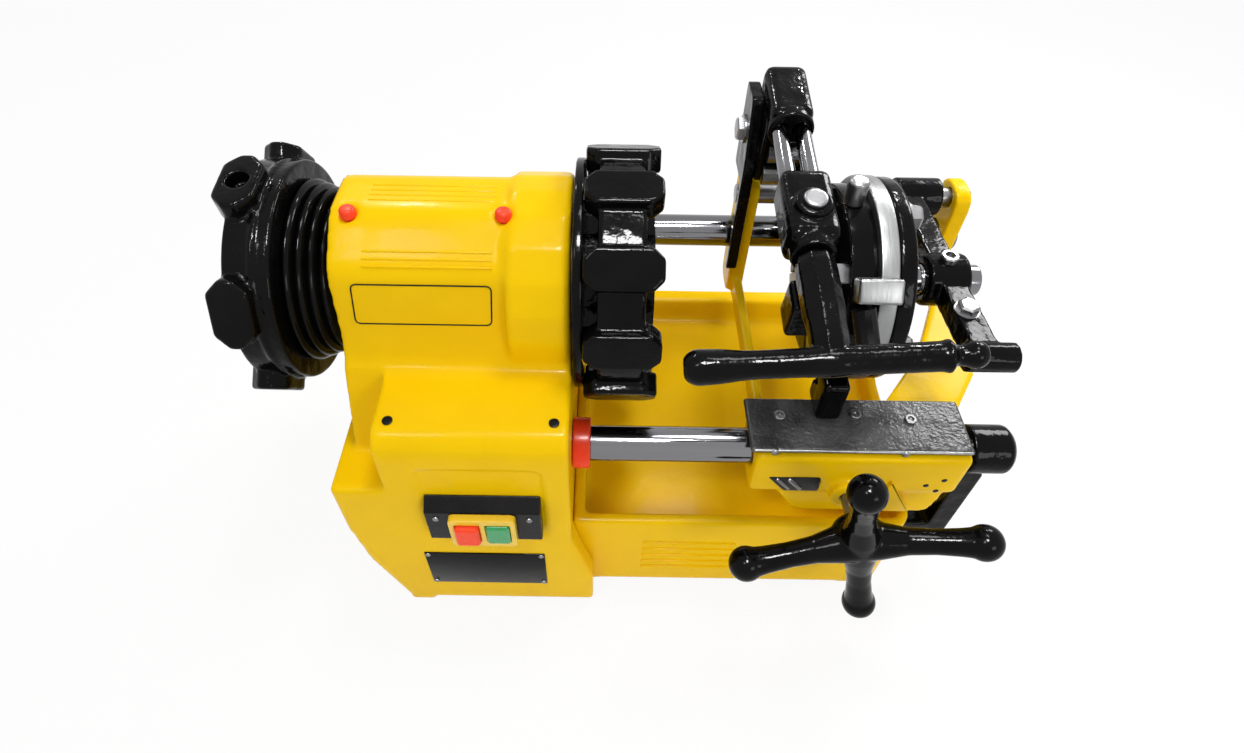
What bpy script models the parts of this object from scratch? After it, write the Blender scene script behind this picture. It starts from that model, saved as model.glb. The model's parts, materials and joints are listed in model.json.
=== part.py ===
"""Pipe threading machine: X runs along the spindle, the operator stands at -Y, Z is up, metres."""

import math

import bmesh
import bpy
from mathutils import Matrix, Vector

# Fits and clearances
SEAT_GAP = 0.0003
RUN_GAP = 0.0004
SIDE_GAP = 0.001

# Spindle line and bed
SPINDLE_HEIGHT = 0.255
SPINDLE_BORE_RADIUS = 0.032
SPINDLE_RADIUS = 0.038
BEARING_WALL = 0.008
PAD_HEIGHT = 0.006
BED_BOTTOM = -SPINDLE_HEIGHT + PAD_HEIGHT

# Headstock housing
HOUSING_LEFT = -0.174
HOUSING_RIGHT = -0.021
HOUSING_WALL = 0.008
HOUSING_FRONT = -0.131
HOUSING_REAR = 0.124
NECK_LENGTH = 0.042
NECK_RADIUS = 0.071
PANEL_WIDTH = 0.086
PANEL_HEIGHT = 0.086
PANEL_TOP = -0.055
LEDGE_TOP = -0.0265
PANEL_DEPTH = 0.002
BOX_LEFT = -0.184
STEP_TOP = -0.082
LEDGE_LEFT = -0.147
RECESS_REAR = -0.097
SLOPE_TOP, SLOPE_BEND = -0.136, -0.184
SLOPE_BEND_IN, SLOPE_FOOT_IN = 0.006, 0.026
FLARE_RIGHT, FLARE_TOP, FLARE_BEND = -0.005, -0.150, -0.212
FOOT_LENGTH, FOOT_WIDTH = 0.020, 0.011

# Base casting and chip tray
BASE_RIGHT = 0.240
BASE_FRONT = -0.112
BASE_REAR = 0.125
BASE_WALL = 0.009
TRAY_REAR_RIM = -0.131
TRAY_FRONT_RIM = -0.153
TRAY_FALL = 0.024
TRAY_DEPTH = 0.020

# Rails
RAIL_RADIUS = 0.013
FRONT_RAIL_Y, FRONT_RAIL_Z = -0.082, -0.091
REAR_RAIL_Y, REAR_RAIL_Z = 0.102, -0.040
COLLAR_LEFT, COLLAR_RIGHT, COLLAR_RADIUS = -0.0205, -0.008, 0.0185
POST_WIDTH, POST_RIGHT = 0.014, 0.226
STAY_LOW, STAY_HIGH = -0.206, -0.182

# Hammer chuck
CHUCK_LEFT, CHUCK_RIGHT = -0.0195, 0.037
CHUCK_BODY_RADIUS = 0.052
CHUCK_RING_RADIUS = 0.0825
CHUCK_LOBE_RADIUS = 0.089
CHUCK_LOBES = 10
CHUCK_LOBE_WIDTH = 0.027
CHUCK_LOBE_CORNER = 0.007
CHUCK_PLATE = 0.006
JAW_WIDTH = 0.016
JAW_THICKNESS = 0.014
JAW_LENGTH = 0.017
JAW_REACH = 0.030

# Rear chuck
REAR_LEFT, REAR_RIGHT = -0.241, -0.177
REAR_WHEEL_WIDTH = 0.036
REAR_BODY_RADIUS = 0.046
REAR_RIB_RADIUS = 0.064
REAR_RIBS = 3
REAR_RING_RADIUS = 0.0765
REAR_LOBE_RADIUS = 0.086
REAR_LOBES = 6
REAR_LOBE_WIDTH = 0.046
REAR_LOBE_LENGTH = 0.026
REAR_LOBE_CORNER = 0.009
REAR_TURN = math.radians(8)

# Gear train
GEAR_LEFT, GEAR_WIDTH = -0.100, 0.018
SPINDLE_GEAR_TEETH, SPINDLE_GEAR_RADIUS = 35, 0.0460
LAY_PINION_TEETH, LAY_PINION_RADIUS = 10, 0.0140
LAY_GEAR_TEETH, LAY_GEAR_RADIUS = 17, 0.0215
MOTOR_PINION_TEETH, MOTOR_PINION_RADIUS = 9, 0.0120
TOOTH_DEPTH = 0.0024
SECOND_STAGE_LEFT = -0.068
SECOND_STAGE_WIDTH = 0.014
LAY_SHAFT_RADIUS = 0.007
MOTOR_RADIUS = 0.044
MOTOR_LEFT, MOTOR_RIGHT = -0.158, -0.112
MOTOR_SHAFT_RADIUS = 0.007
GEAR_PLATE_X, GEAR_PLATE_THICKNESS = -0.079, 0.006
PLATE_FRONT, PLATE_REAR, PLATE_LOW, PLATE_TOP = -0.118, 0.112, -0.205, -0.056
BEARING_REAR_LENGTH, BEARING_FRONT_LENGTH = 0.030, 0.026

# Carriage
CARRIAGE_LEFT, CARRIAGE_RIGHT = 0.108, 0.261
SLEEVE_FRONT, SLEEVE_REAR = -0.104, -0.057
SLEEVE_TOP, SLEEVE_BOTTOM = -0.0755, -0.119
APRON_DROP = 0.030
COVER_THICKNESS = 0.004
EAR_WIDTH = 0.013
EAR_TOP, RIGHT_EAR_TOP = 0.021, 0.010
EAR_DEPTH = 0.036
ARM_TOP, ARM_BOTTOM = -0.078, -0.098
TOOL_SHAFT_RADIUS = 0.0075
TOOL_SHAFT_Z = -0.002
WINDOW_WIDTH, WINDOW_HEIGHT = 0.024, 0.014

# Star handwheel
WHEEL_X = 0.180
WHEEL_Y = -0.145
PINION_RADIUS = 0.0086
PINION_TEETH = 12
PINION_SHAFT_RADIUS = 0.006
STAR_RADIUS = 0.079
STAR_BALL_RADIUS = 0.012
STAR_DISH = 0.010
STAR_HUB_RADIUS = 0.017
STAR_ARM_RADIUS = 0.0085
STAR_TURN = math.radians(13)

# Pipe cutter
CUTTER_X = 0.128
CUTTER_BAR_Y, CUTTER_BAR_Z = -0.120, 0.046
CUTTER_INCLINE = math.radians(10)
CUTTER_PIN_Y, CUTTER_PIN_Z = 0.100, 0.058
CUTTER_PIN_RADIUS = 0.006
T_BAR_LENGTH = 0.166
T_BAR_RADIUS = 0.0085
STEM_RADIUS = 0.0105
SCREW_RADIUS = 0.0075
SCREW_PITCH = 0.006
CUTTER_HOUSING_START, CUTTER_HOUSING_END = 0.080, 0.137
CUTTER_BOSS_AT = 0.103
CUTTER_HOUSING_WIDTH, CUTTER_HOUSING_HEIGHT = 0.033, 0.030
YOKE_START, YOKE_END = 0.188, 0.241
YOKE_WIDTH, YOKE_HEIGHT = 0.030, 0.030
ROD_RADIUS = 0.0058
ROD_SPACING = 0.0155
SLIDE_LENGTH = 0.024
SLIDE_START = 0.046
SLIDE_WIDTH = 0.024
SLIDE_DROP = 0.032
CUTTER_WHEEL_RADIUS = 0.0165
CUTTER_WHEEL_THICKNESS = 0.006
CUTTER_WHEEL_DROP = 0.037
ROLLER_RADIUS = 0.008
ROLLER_LENGTH = 0.022
ROLLER_PITCH = 0.022
ROLLER_PIN_RADIUS = 0.003
BRACKET_LEFT, BRACKET_THICKNESS = 0.1030, 0.0085
BRACKET_TOP = 0.090

# Die head
DIE_LEFT = 0.1465
DIE_BODY_LENGTH = 0.0245
DIE_BODY_RADIUS = 0.066
DIE_BORE_RADIUS = 0.034
DIE_SLEEVE_RADIUS = 0.0395
CAM_RIM, COVER_RIM = 0.006, 0.005
CAM_THICKNESS, CAM_RADIUS = 0.0117, DIE_BODY_RADIUS + CAM_RIM
COVER_LENGTH, DIE_COVER_RADIUS = 0.0117, DIE_BODY_RADIUS + COVER_RIM
CHASER_WIDTH, CHASER_THICKNESS = 0.012, 0.011
CHASER_INNER, CHASER_OUTER = 0.026, 0.058
DIE_ARM_WIDTH = 0.018
DIE_BOSS_RADIUS = 0.016
LEVER_LENGTH = 0.036
LEVER_DIP = math.radians(54)
LEVER_RADIUS = 0.0075
CAM_LUG = 0.020
KNOB_RADIUS, KNOB_HEIGHT = 0.0068, 0.018

# Reamer
REAMER_GAP = 0.0025
REAMER_CONE_LEFT = DIE_LEFT + DIE_BODY_LENGTH + CAM_THICKNESS + COVER_LENGTH + 2 * SEAT_GAP + REAMER_GAP
REAMER_CONE_LENGTH = 0.015
REAMER_ARM_OFFSET, REAMER_ARM_WIDTH = 0.0205, 0.020
REAMER_BAR_LEFT = REAMER_CONE_LEFT + REAMER_CONE_LENGTH
REAMER_ARM_LEFT = REAMER_BAR_LEFT + REAMER_ARM_OFFSET
REAMER_BAR_RIGHT = REAMER_ARM_LEFT + REAMER_ARM_WIDTH + 0.012
REAMER_REACH = 0.180
REAMER_BAR_RADIUS = 0.011
REAMER_RISE = 0.0045
REAMER_CONE_RADIUS = 0.027
REAMER_BLADES = 5
REAMER_HUB_RADIUS = 0.019
REAMER_GRIP_RADIUS = 0.010
REAMER_BOSS_LENGTH = 0.015

# The right ear stands clear of the reamer, and both rails end with it
EAR_GAP = 0.009
EAR_RIGHT = REAMER_ARM_LEFT + REAMER_ARM_WIDTH + REAMER_BOSS_LENGTH + EAR_GAP + EAR_WIDTH
FRONT_RAIL_END, REAR_RAIL_END = EAR_RIGHT, EAR_RIGHT + 0.004
CAP_LEFT, CAP_RIGHT, CAP_RADIUS = FRONT_RAIL_END - 0.026, FRONT_RAIL_END + 0.006, 0.018

# Switch and caps
SWITCH_X, SWITCH_Z = -0.081, -0.110
SWITCH_WIDTH, SWITCH_HEIGHT, SWITCH_DEPTH = 0.080, 0.046, 0.010
BEZEL_WIDTH, BEZEL_HEIGHT, BEZEL_DEPTH = 0.046, 0.034, 0.006
BUTTON_WIDTH, BUTTON_HEIGHT, BUTTON_DEPTH = 0.0165, 0.022, 0.009
BUTTON_TRAVEL = 0.003
OIL_CAPS = (("oil_cap_left", -0.162), ("oil_cap_right", -0.064))
OIL_CAP_Y, OIL_SEAT = -0.020, 0.0635
OIL_CAP_RADIUS, OIL_CAP_HEIGHT = 0.0055, 0.0068

ROUND = 20
SMALL_ROUND = 12

for old in list(bpy.data.objects):
    bpy.data.objects.remove(old, do_unlink=True)

PAINTS = {
    "yellow_paint": ((0.80, 0.46, 0.02), 0.0, 0.35),
    "black_enamel": ((0.012, 0.012, 0.013), 0.0, 0.25),
    "chrome": ((0.75, 0.75, 0.76), 1.0, 0.12),
    "aluminium": ((0.62, 0.63, 0.64), 1.0, 0.38),
    "steel": ((0.45, 0.45, 0.46), 1.0, 0.35),
    "red_plastic": ((0.72, 0.06, 0.02), 0.0, 0.35),
    "green_plastic": ((0.02, 0.35, 0.10), 0.0, 0.35),
    "black_plastic": ((0.02, 0.02, 0.021), 0.0, 0.5),
    "yellow_plastic": ((0.82, 0.55, 0.03), 0.0, 0.4),
    "bronze": ((0.50, 0.31, 0.12), 1.0, 0.35),
    "motor_grey": ((0.30, 0.31, 0.33), 0.3, 0.5),
}


def paint(slot, name):
    """A material of its own for one piece, in one of the machine's finishes."""
    colour, metallic, roughness = PAINTS[slot]
    material = bpy.data.materials.new(name + "_" + slot)
    material.use_nodes = True
    shader = material.node_tree.nodes["Principled BSDF"]
    shader.inputs["Base Color"].default_value = (*colour, 1.0)
    shader.inputs["Metallic"].default_value = metallic
    shader.inputs["Roughness"].default_value = roughness
    return material


def put(name, shape, slot, origin=(0.0, 0.0, 0.0)):
    """Makes the object of one piece, its own origin at the point given on its joint axis."""
    bmesh.ops.remove_doubles(shape, verts=shape.verts, dist=1e-6)
    bmesh.ops.recalc_face_normals(shape, faces=shape.faces)
    bmesh.ops.translate(shape, verts=shape.verts, vec=-Vector(origin))
    mesh = bpy.data.meshes.new(name)
    shape.to_mesh(mesh)
    shape.free()
    mesh.materials.append(paint(slot, name))
    piece = bpy.data.objects.new(name, mesh)
    piece.location = origin
    bpy.context.scene.collection.objects.link(piece)
    return piece


def combine(first, second, operation):
    """One shape from two, by the Boolean modifier's exact solver."""
    pair = []
    for shape in (first, second):
        bmesh.ops.recalc_face_normals(shape, faces=shape.faces)
        mesh = bpy.data.meshes.new("working")
        shape.to_mesh(mesh)
        shape.free()
        pair.append(bpy.data.objects.new("working", mesh))
        bpy.context.scene.collection.objects.link(pair[-1])
    step = pair[0].modifiers.new("combine", "BOOLEAN")
    step.operation = operation
    step.solver = "EXACT"
    step.object = pair[1]
    solved = pair[0].evaluated_get(bpy.context.evaluated_depsgraph_get())
    result = bmesh.new()
    result.from_mesh(solved.to_mesh())
    for piece in pair:
        mesh = piece.data
        bpy.data.objects.remove(piece, do_unlink=True)
        bpy.data.meshes.remove(mesh)
    return result


def union(first, *others):
    for other in others:
        first = combine(first, other, "UNION")
    return first


def cut(first, *others):
    for other in others:
        first = combine(first, other, "DIFFERENCE")
    return first


def block(x0, x1, y0, y1, z0, z1, soften=0.0, edges=None, steps=2):
    """A box between two corners, with every edge (or those along one axis) rounded."""
    shape = bmesh.new()
    size = Vector((x1 - x0, y1 - y0, z1 - z0))
    middle = Vector((x1 + x0, y1 + y0, z1 + z0)) / 2
    bmesh.ops.create_cube(shape, size=1.0, matrix=Matrix.Translation(middle) @ Matrix.Diagonal((*size, 1.0)))
    if soften:
        chosen = shape.edges[:]
        if edges is not None:
            chosen = [e for e in chosen if abs((e.verts[0].co - e.verts[1].co)[edges]) > 1e-9]
        bmesh.ops.bevel(shape, geom=chosen, offset=soften, segments=steps, profile=0.5, affect="EDGES")
    return shape


def prism(outline, axis, low, high):
    """An outline in the plane across an axis, drawn out along that axis."""
    shape = bmesh.new()
    others = [i for i in range(3) if i != axis]
    ends = []
    for level in (low, high):
        ring = []
        for first, second in outline:
            point = [0.0, 0.0, 0.0]
            point[axis], point[others[0]], point[others[1]] = level, first, second
            ring.append(shape.verts.new(point))
        ends.append(ring)
        shape.faces.new(ring)
    count = len(outline)
    for i in range(count):
        j = (i + 1) % count
        shape.faces.new((ends[0][i], ends[0][j], ends[1][j], ends[1][i]))
    return shape


def turned(profile, axis=0, centre=(0.0, 0.0, 0.0), steps=ROUND):
    """A closed profile of (along, radius) points turned about an axis through a centre."""
    shape = bmesh.new()
    across = (axis + 1) % 3
    points = []
    for along, radius in profile:
        point = list(centre)
        point[axis] += along
        point[across] += radius
        points.append(shape.verts.new(point))
    edges = [shape.edges.new((points[i], points[(i + 1) % len(points)])) for i in range(len(points))]
    direction = [0.0, 0.0, 0.0]
    direction[axis] = 1.0
    bmesh.ops.spin(shape, geom=points + edges, cent=centre, axis=direction, angle=2 * math.pi, steps=steps, use_merge=True)
    bmesh.ops.remove_doubles(shape, verts=shape.verts, dist=1e-6)
    loose = [e for e in shape.edges if not e.link_faces]
    bmesh.ops.delete(shape, geom=loose, context="EDGES")
    turned_about = Vector(centre)
    turned_about[axis] = 0.0
    flat_poles = []
    for vert in shape.verts:
        offset = vert.co - turned_about
        offset[axis] = 0.0
        level = [abs(e.other_vert(vert).co[axis] - vert.co[axis]) < 1e-7 for e in vert.link_edges]
        if offset.length < 1e-7 and all(level):
            flat_poles.append(vert)
    bmesh.ops.dissolve_verts(shape, verts=flat_poles)
    bmesh.ops.recalc_face_normals(shape, faces=shape.faces)
    return shape


def ring(x0, x1, inner, outer, axis=0, centre=(0.0, 0.0, 0.0), steps=ROUND, chamfer=0.0):
    """A turned ring; with no inner radius it's a disc."""
    profile = [(x0, outer - chamfer), (x0 + chamfer, outer), (x1 - chamfer, outer), (x1, outer - chamfer)]
    if not chamfer:
        profile = [(x0, outer), (x1, outer)]
    profile += [(x1, inner), (x0, inner)]
    return turned(profile, axis, centre, steps)


def running_bore(radius):
    """A bore whose flats still clear a turning round of this radius and the same number of sides."""
    return (radius + RUN_GAP) / math.cos(math.pi / ROUND)


def rod(start, end, radius, steps=SMALL_ROUND):
    """A round bar between two points."""
    shape = bmesh.new()
    start, end = Vector(start), Vector(end)
    along = end - start
    place = Matrix.Translation((start + end) / 2) @ along.to_track_quat("Z", "Y").to_matrix().to_4x4()
    bmesh.ops.create_cone(
        shape, cap_ends=True, segments=steps, radius1=radius, radius2=radius, depth=along.length, matrix=place
    )
    return shape


def ball(centre, radius, columns=10, rows=6):
    shape = bmesh.new()
    bmesh.ops.create_uvsphere(
        shape, u_segments=columns, v_segments=rows, radius=radius, matrix=Matrix.Translation(centre)
    )
    return shape


def moved(shape, matrix):
    bmesh.ops.transform(shape, matrix=matrix, verts=shape.verts)
    return shape


def inset(outline, distance):
    """An outline moved inward by a wall thickness, corner by corner (outline runs clockwise seen from +axis)."""
    result = []
    count = len(outline)
    area = sum(
        outline[i][0] * outline[(i + 1) % count][1] - outline[(i + 1) % count][0] * outline[i][1] for i in range(count)
    )
    side = 1.0 if area > 0 else -1.0
    for i in range(count):
        before, here, after = Vector(outline[i - 1]), Vector(outline[i]), Vector(outline[(i + 1) % count])
        first, second = (here - before).normalized(), (after - here).normalized()
        normal_one = Vector((-first.y, first.x)) * side
        normal_two = Vector((-second.y, second.x)) * side
        bisector = (normal_one + normal_two).normalized()
        result.append(tuple(here + bisector * distance / max(bisector.dot(normal_one), 0.2)))
    return result


def rounded(outline, radius, steps=4):
    """An outline with each corner turned into an arc of about the radius."""
    result = []
    count = len(outline)
    for i in range(count):
        before, here, after = Vector(outline[i - 1]), Vector(outline[i]), Vector(outline[(i + 1) % count])
        one, two = before - here, after - here
        reach = min(radius, one.length * 0.45, two.length * 0.45)
        start, end = here + one.normalized() * reach, here + two.normalized() * reach
        for step in range(steps + 1):
            share = step / steps
            point = start * (1 - share) ** 2 + here * 2 * share * (1 - share) + end * share**2
            result.append(tuple(point))
    return result


def gear_outline(teeth, radius, depth):
    """A gear's outline about its own centre, its teeth tapering to the tip radius."""
    pitch = 2 * math.pi / teeth
    shares = ((-0.30, radius - depth), (-0.13, radius), (0.13, radius), (0.30, radius - depth))
    return [
        (math.cos((i + share) * pitch) * reach, math.sin((i + share) * pitch) * reach)
        for i in range(teeth)
        for share, reach in shares
    ]


def gear(teeth, radius, depth, x0, x1, y, z, turn=0.0):
    """A spur gear across the X axis at a centre (y, z)."""
    cosine, sine = math.cos(turn), math.sin(turn)
    outline = [(y + a * cosine - b * sine, z + a * sine + b * cosine) for a, b in gear_outline(teeth, radius, depth)]
    return prism(outline, 0, x0, x1)


def about_x(angle, y=0.0, z=0.0):
    return Matrix.Translation((0, y, z)) @ Matrix.Rotation(angle, 4, "X") @ Matrix.Translation((0, -y, -z))


# Headstock housing: a hollow casting, one outline in the plane across the spindle
HOUSING_CORNERS = [
    (HOUSING_FRONT, BED_BOTTOM),
    (HOUSING_FRONT, -0.037),
    (-0.1215, LEDGE_TOP),
    (-0.069, LEDGE_TOP + 0.002),
    (-0.060, LEDGE_TOP + 0.022),
    (-0.052, 0.043),
    (-0.020, 0.068),
    (0.020, 0.068),
    (0.056, 0.040),
    (0.070, -0.020),
    (0.098, -0.090),
    (HOUSING_REAR, -0.118),
    (HOUSING_REAR, BED_BOTTOM),
]
HOUSING_OUTLINE = [HOUSING_CORNERS[0]] + rounded(HOUSING_CORNERS, 0.009, 3)[4:-4] + [HOUSING_CORNERS[-1]]
shell = prism(HOUSING_OUTLINE, 0, HOUSING_LEFT, HOUSING_RIGHT)
box = block(BOX_LEFT, HOUSING_LEFT + 0.010, HOUSING_FRONT, HOUSING_REAR, BED_BOTTOM, STEP_TOP)
flare = prism(
    [
        (HOUSING_RIGHT - 0.010, FLARE_TOP),
        (HOUSING_RIGHT, FLARE_TOP),
        (FLARE_RIGHT, FLARE_BEND),
        (FLARE_RIGHT, BED_BOTTOM),
        (HOUSING_RIGHT - 0.010, BED_BOTTOM),
    ],
    1,
    HOUSING_FRONT,
    BASE_FRONT - SIDE_GAP,
)
recess = prism(
    [(-0.062, 0.0), (RECESS_REAR, STEP_TOP), (HOUSING_FRONT - 0.02, STEP_TOP), (HOUSING_FRONT - 0.02, 0.0)],
    0,
    BOX_LEFT - 0.01,
    LEDGE_LEFT,
)
corner = [
    (BOX_LEFT - 0.01, SLOPE_TOP),
    (BOX_LEFT, SLOPE_TOP),
    (BOX_LEFT + SLOPE_BEND_IN, SLOPE_BEND),
    (BOX_LEFT + SLOPE_FOOT_IN, BED_BOTTOM),
    (BOX_LEFT + SLOPE_FOOT_IN, BED_BOTTOM - 0.01),
    (BOX_LEFT - 0.01, BED_BOTTOM - 0.01),
]
shell = cut(shell, recess)
shell = union(shell, box, flare)
shell = cut(shell, prism(corner, 1, HOUSING_FRONT - 0.02, HOUSING_REAR + 0.02))
neck = ring(HOUSING_RIGHT - NECK_LENGTH, HOUSING_RIGHT, 0.0, NECK_RADIUS, chamfer=0.003)
rail_lug = prism(
    rounded([(0.050, -0.010), (0.098, -0.014), (HOUSING_REAR, -0.030), (HOUSING_REAR, -0.125), (0.060, -0.125)], 0.008),
    0,
    HOUSING_RIGHT - 0.040,
    HOUSING_RIGHT,
)
shell = union(shell, neck, rail_lug)
inner = inset(HOUSING_CORNERS, HOUSING_WALL)
inner[0] = (inner[0][0], BED_BOTTOM - 0.01)
inner[-1] = (inner[-1][0], BED_BOTTOM - 0.01)
hollow = prism(inner, 0, HOUSING_LEFT + 0.012, HOUSING_RIGHT - 0.012)
slant = [
    (HOUSING_LEFT, SLOPE_BEND - HOUSING_WALL),
    (HOUSING_LEFT + 0.0125, SLOPE_BEND - HOUSING_WALL),
    (BOX_LEFT + SLOPE_FOOT_IN + 0.012, BED_BOTTOM - 0.02),
    (HOUSING_LEFT, BED_BOTTOM - 0.02),
]
recess_wall = prism(
    [
        (-0.062 + HOUSING_WALL, 0.012),
        (RECESS_REAR + HOUSING_WALL, STEP_TOP - HOUSING_WALL),
        (HOUSING_FRONT - 0.02, STEP_TOP - HOUSING_WALL),
        (HOUSING_FRONT - 0.02, 0.012),
    ],
    0,
    BOX_LEFT,
    LEDGE_LEFT + HOUSING_WALL,
)
hollow = cut(hollow, prism(slant, 1, HOUSING_FRONT, HOUSING_REAR), recess_wall)
BEARING_RADIUS = running_bore(SPINDLE_RADIUS) + BEARING_WALL
shell = cut(shell, hollow)
shell = cut(shell, ring(HOUSING_LEFT - 0.01, HOUSING_RIGHT + 0.01, 0.0, BEARING_RADIUS + SEAT_GAP))
for rail_y, rail_z in ((FRONT_RAIL_Y, FRONT_RAIL_Z), (REAR_RAIL_Y, REAR_RAIL_Z)):
    shell = cut(
        shell,
        ring(HOUSING_RIGHT - 0.0125, HOUSING_RIGHT + 0.01, 0.0, RAIL_RADIUS + SEAT_GAP, 0, (0, rail_y, rail_z), 16),
    )
panel = block(
    SWITCH_X - PANEL_WIDTH / 2,
    SWITCH_X + PANEL_WIDTH / 2,
    HOUSING_FRONT - 0.01,
    HOUSING_FRONT + PANEL_DEPTH,
    PANEL_TOP - PANEL_HEIGHT,
    PANEL_TOP,
    0.006,
    1,
)
shell = cut(shell, panel)
foot_left = BOX_LEFT + SLOPE_FOOT_IN
for foot_y in (HOUSING_FRONT, HOUSING_REAR - FOOT_WIDTH):
    shell = union(
        shell,
        block(foot_left, foot_left + FOOT_LENGTH, foot_y, foot_y + FOOT_WIDTH, -SPINDLE_HEIGHT, BED_BOTTOM + 0.012),
    )
for cap_name, cap_x in OIL_CAPS:
    seat = (cap_x, OIL_CAP_Y, 0.0)
    shell = cut(
        shell,
        ring(0.045, 0.09, 0.0, OIL_CAP_RADIUS * 0.6 + SEAT_GAP, 2, seat, SMALL_ROUND),
        ring(OIL_SEAT, 0.09, 0.0, OIL_CAP_RADIUS + SIDE_GAP, 2, seat, SMALL_ROUND),
    )
put("headstock_housing", shell, "yellow_paint")

# Base casting with a sloping chip tray and a rear rail post
BASE_LEFT = HOUSING_RIGHT + SEAT_GAP
base = prism(
    [
        (BASE_FRONT, BED_BOTTOM),
        (BASE_REAR, BED_BOTTOM),
        (BASE_REAR, TRAY_REAR_RIM),
        (BASE_FRONT, TRAY_FRONT_RIM),
    ],
    0,
    BASE_LEFT,
    BASE_RIGHT,
)
upright = [e for e in base.edges if abs(e.verts[0].co.z - e.verts[1].co.z) > 0.05 and e.verts[0].co.x > 0]
bmesh.ops.bevel(base, geom=upright, offset=0.016, segments=4, profile=0.5, affect="EDGES")
tray_front = TRAY_FRONT_RIM - TRAY_FALL
tray = prism(
    [
        (BASE_FRONT + BASE_WALL, tray_front),
        (BASE_REAR - 0.065, TRAY_REAR_RIM - TRAY_DEPTH - 0.008),
        (BASE_REAR - 0.020, TRAY_REAR_RIM - TRAY_DEPTH),
        (BASE_REAR - BASE_WALL, TRAY_REAR_RIM + 0.01),
        (BASE_FRONT + BASE_WALL, TRAY_REAR_RIM + 0.01),
    ],
    0,
    BASE_LEFT + BASE_WALL,
    BASE_RIGHT - BASE_WALL,
)
under = prism(
    [
        (BASE_FRONT + BASE_WALL, BED_BOTTOM - 0.01),
        (BASE_REAR - BASE_WALL, BED_BOTTOM - 0.01),
        (BASE_REAR - BASE_WALL, TRAY_REAR_RIM - TRAY_DEPTH - BASE_WALL),
        (BASE_REAR - 0.065, TRAY_REAR_RIM - TRAY_DEPTH - 0.008 - BASE_WALL),
        (BASE_FRONT + BASE_WALL, tray_front - BASE_WALL),
    ],
    0,
    BASE_LEFT + BASE_WALL,
    BASE_RIGHT - BASE_WALL,
)
base = cut(base, tray, under)
post = prism(
    rounded(
        [
            (REAR_RAIL_Y - 0.017, TRAY_REAR_RIM - TRAY_DEPTH + 0.002),
            (REAR_RAIL_Y - 0.019, REAR_RAIL_Z + 0.018),
            (REAR_RAIL_Y + 0.019, REAR_RAIL_Z + 0.018),
            (BASE_REAR, TRAY_REAR_RIM - 0.01),
        ],
        0.010,
    ),
    0,
    POST_RIGHT - POST_WIDTH,
    POST_RIGHT,
)
base = union(base, post)
base = cut(
    base,
    ring(
        POST_RIGHT - POST_WIDTH - 0.01,
        POST_RIGHT + 0.01,
        0.0,
        RAIL_RADIUS + SEAT_GAP,
        0,
        (0, REAR_RAIL_Y, REAR_RAIL_Z),
        24,
    ),
)
for foot_x in (BASE_LEFT, BASE_RIGHT - 0.016 - FOOT_LENGTH):
    for foot_y in (BASE_FRONT + 0.002, BASE_REAR - 0.002 - FOOT_WIDTH):
        base = union(
            base,
            block(foot_x, foot_x + FOOT_LENGTH, foot_y, foot_y + FOOT_WIDTH, -SPINDLE_HEIGHT, BED_BOTTOM + 0.012),
        )
put("base_casting", base, "yellow_paint")

# Rails, collar and the bracket that holds the front rail's free end
put(
    "front_rail",
    ring(HOUSING_RIGHT - 0.012, FRONT_RAIL_END, 0.0, RAIL_RADIUS, 0, (0, FRONT_RAIL_Y, FRONT_RAIL_Z), 20, 0.0015),
    "chrome",
)
put(
    "rear_rail",
    ring(HOUSING_RIGHT - 0.012, REAR_RAIL_END, 0.0, RAIL_RADIUS, 0, (0, REAR_RAIL_Y, REAR_RAIL_Z), 20, 0.0015),
    "chrome",
)
put(
    "rail_collar",
    ring(
        COLLAR_LEFT, COLLAR_RIGHT, RAIL_RADIUS + SEAT_GAP, COLLAR_RADIUS, 0, (0, FRONT_RAIL_Y, FRONT_RAIL_Z), 20, 0.001
    ),
    "red_plastic",
)
cap = turned(
    [
        (CAP_LEFT, RAIL_RADIUS + SEAT_GAP),
        (CAP_LEFT, CAP_RADIUS),
        (CAP_RIGHT - 0.004, CAP_RADIUS),
        (CAP_RIGHT, CAP_RADIUS - 0.004),
        (CAP_RIGHT, 0.0),
        (FRONT_RAIL_END + SEAT_GAP, 0.0),
        (FRONT_RAIL_END + SEAT_GAP, RAIL_RADIUS + SEAT_GAP),
    ],
    0,
    (0, FRONT_RAIL_Y, FRONT_RAIL_Z),
    24,
)
leg = prism(
    rounded(
        [
            (CAP_LEFT + 0.002, FRONT_RAIL_Z - CAP_RADIUS + 0.003),
            (CAP_LEFT + 0.018, FRONT_RAIL_Z - CAP_RADIUS + 0.003),
            (CAP_LEFT + 0.018, STAY_LOW),
            (BASE_RIGHT + SEAT_GAP, STAY_LOW),
            (BASE_RIGHT + SEAT_GAP, STAY_HIGH),
            (CAP_LEFT + 0.002, STAY_HIGH),
        ],
        0.004,
        2,
    ),
    1,
    FRONT_RAIL_Y - 0.011,
    FRONT_RAIL_Y + 0.011,
)
put("rail_end_bracket", union(cap, leg), "black_enamel")

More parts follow.
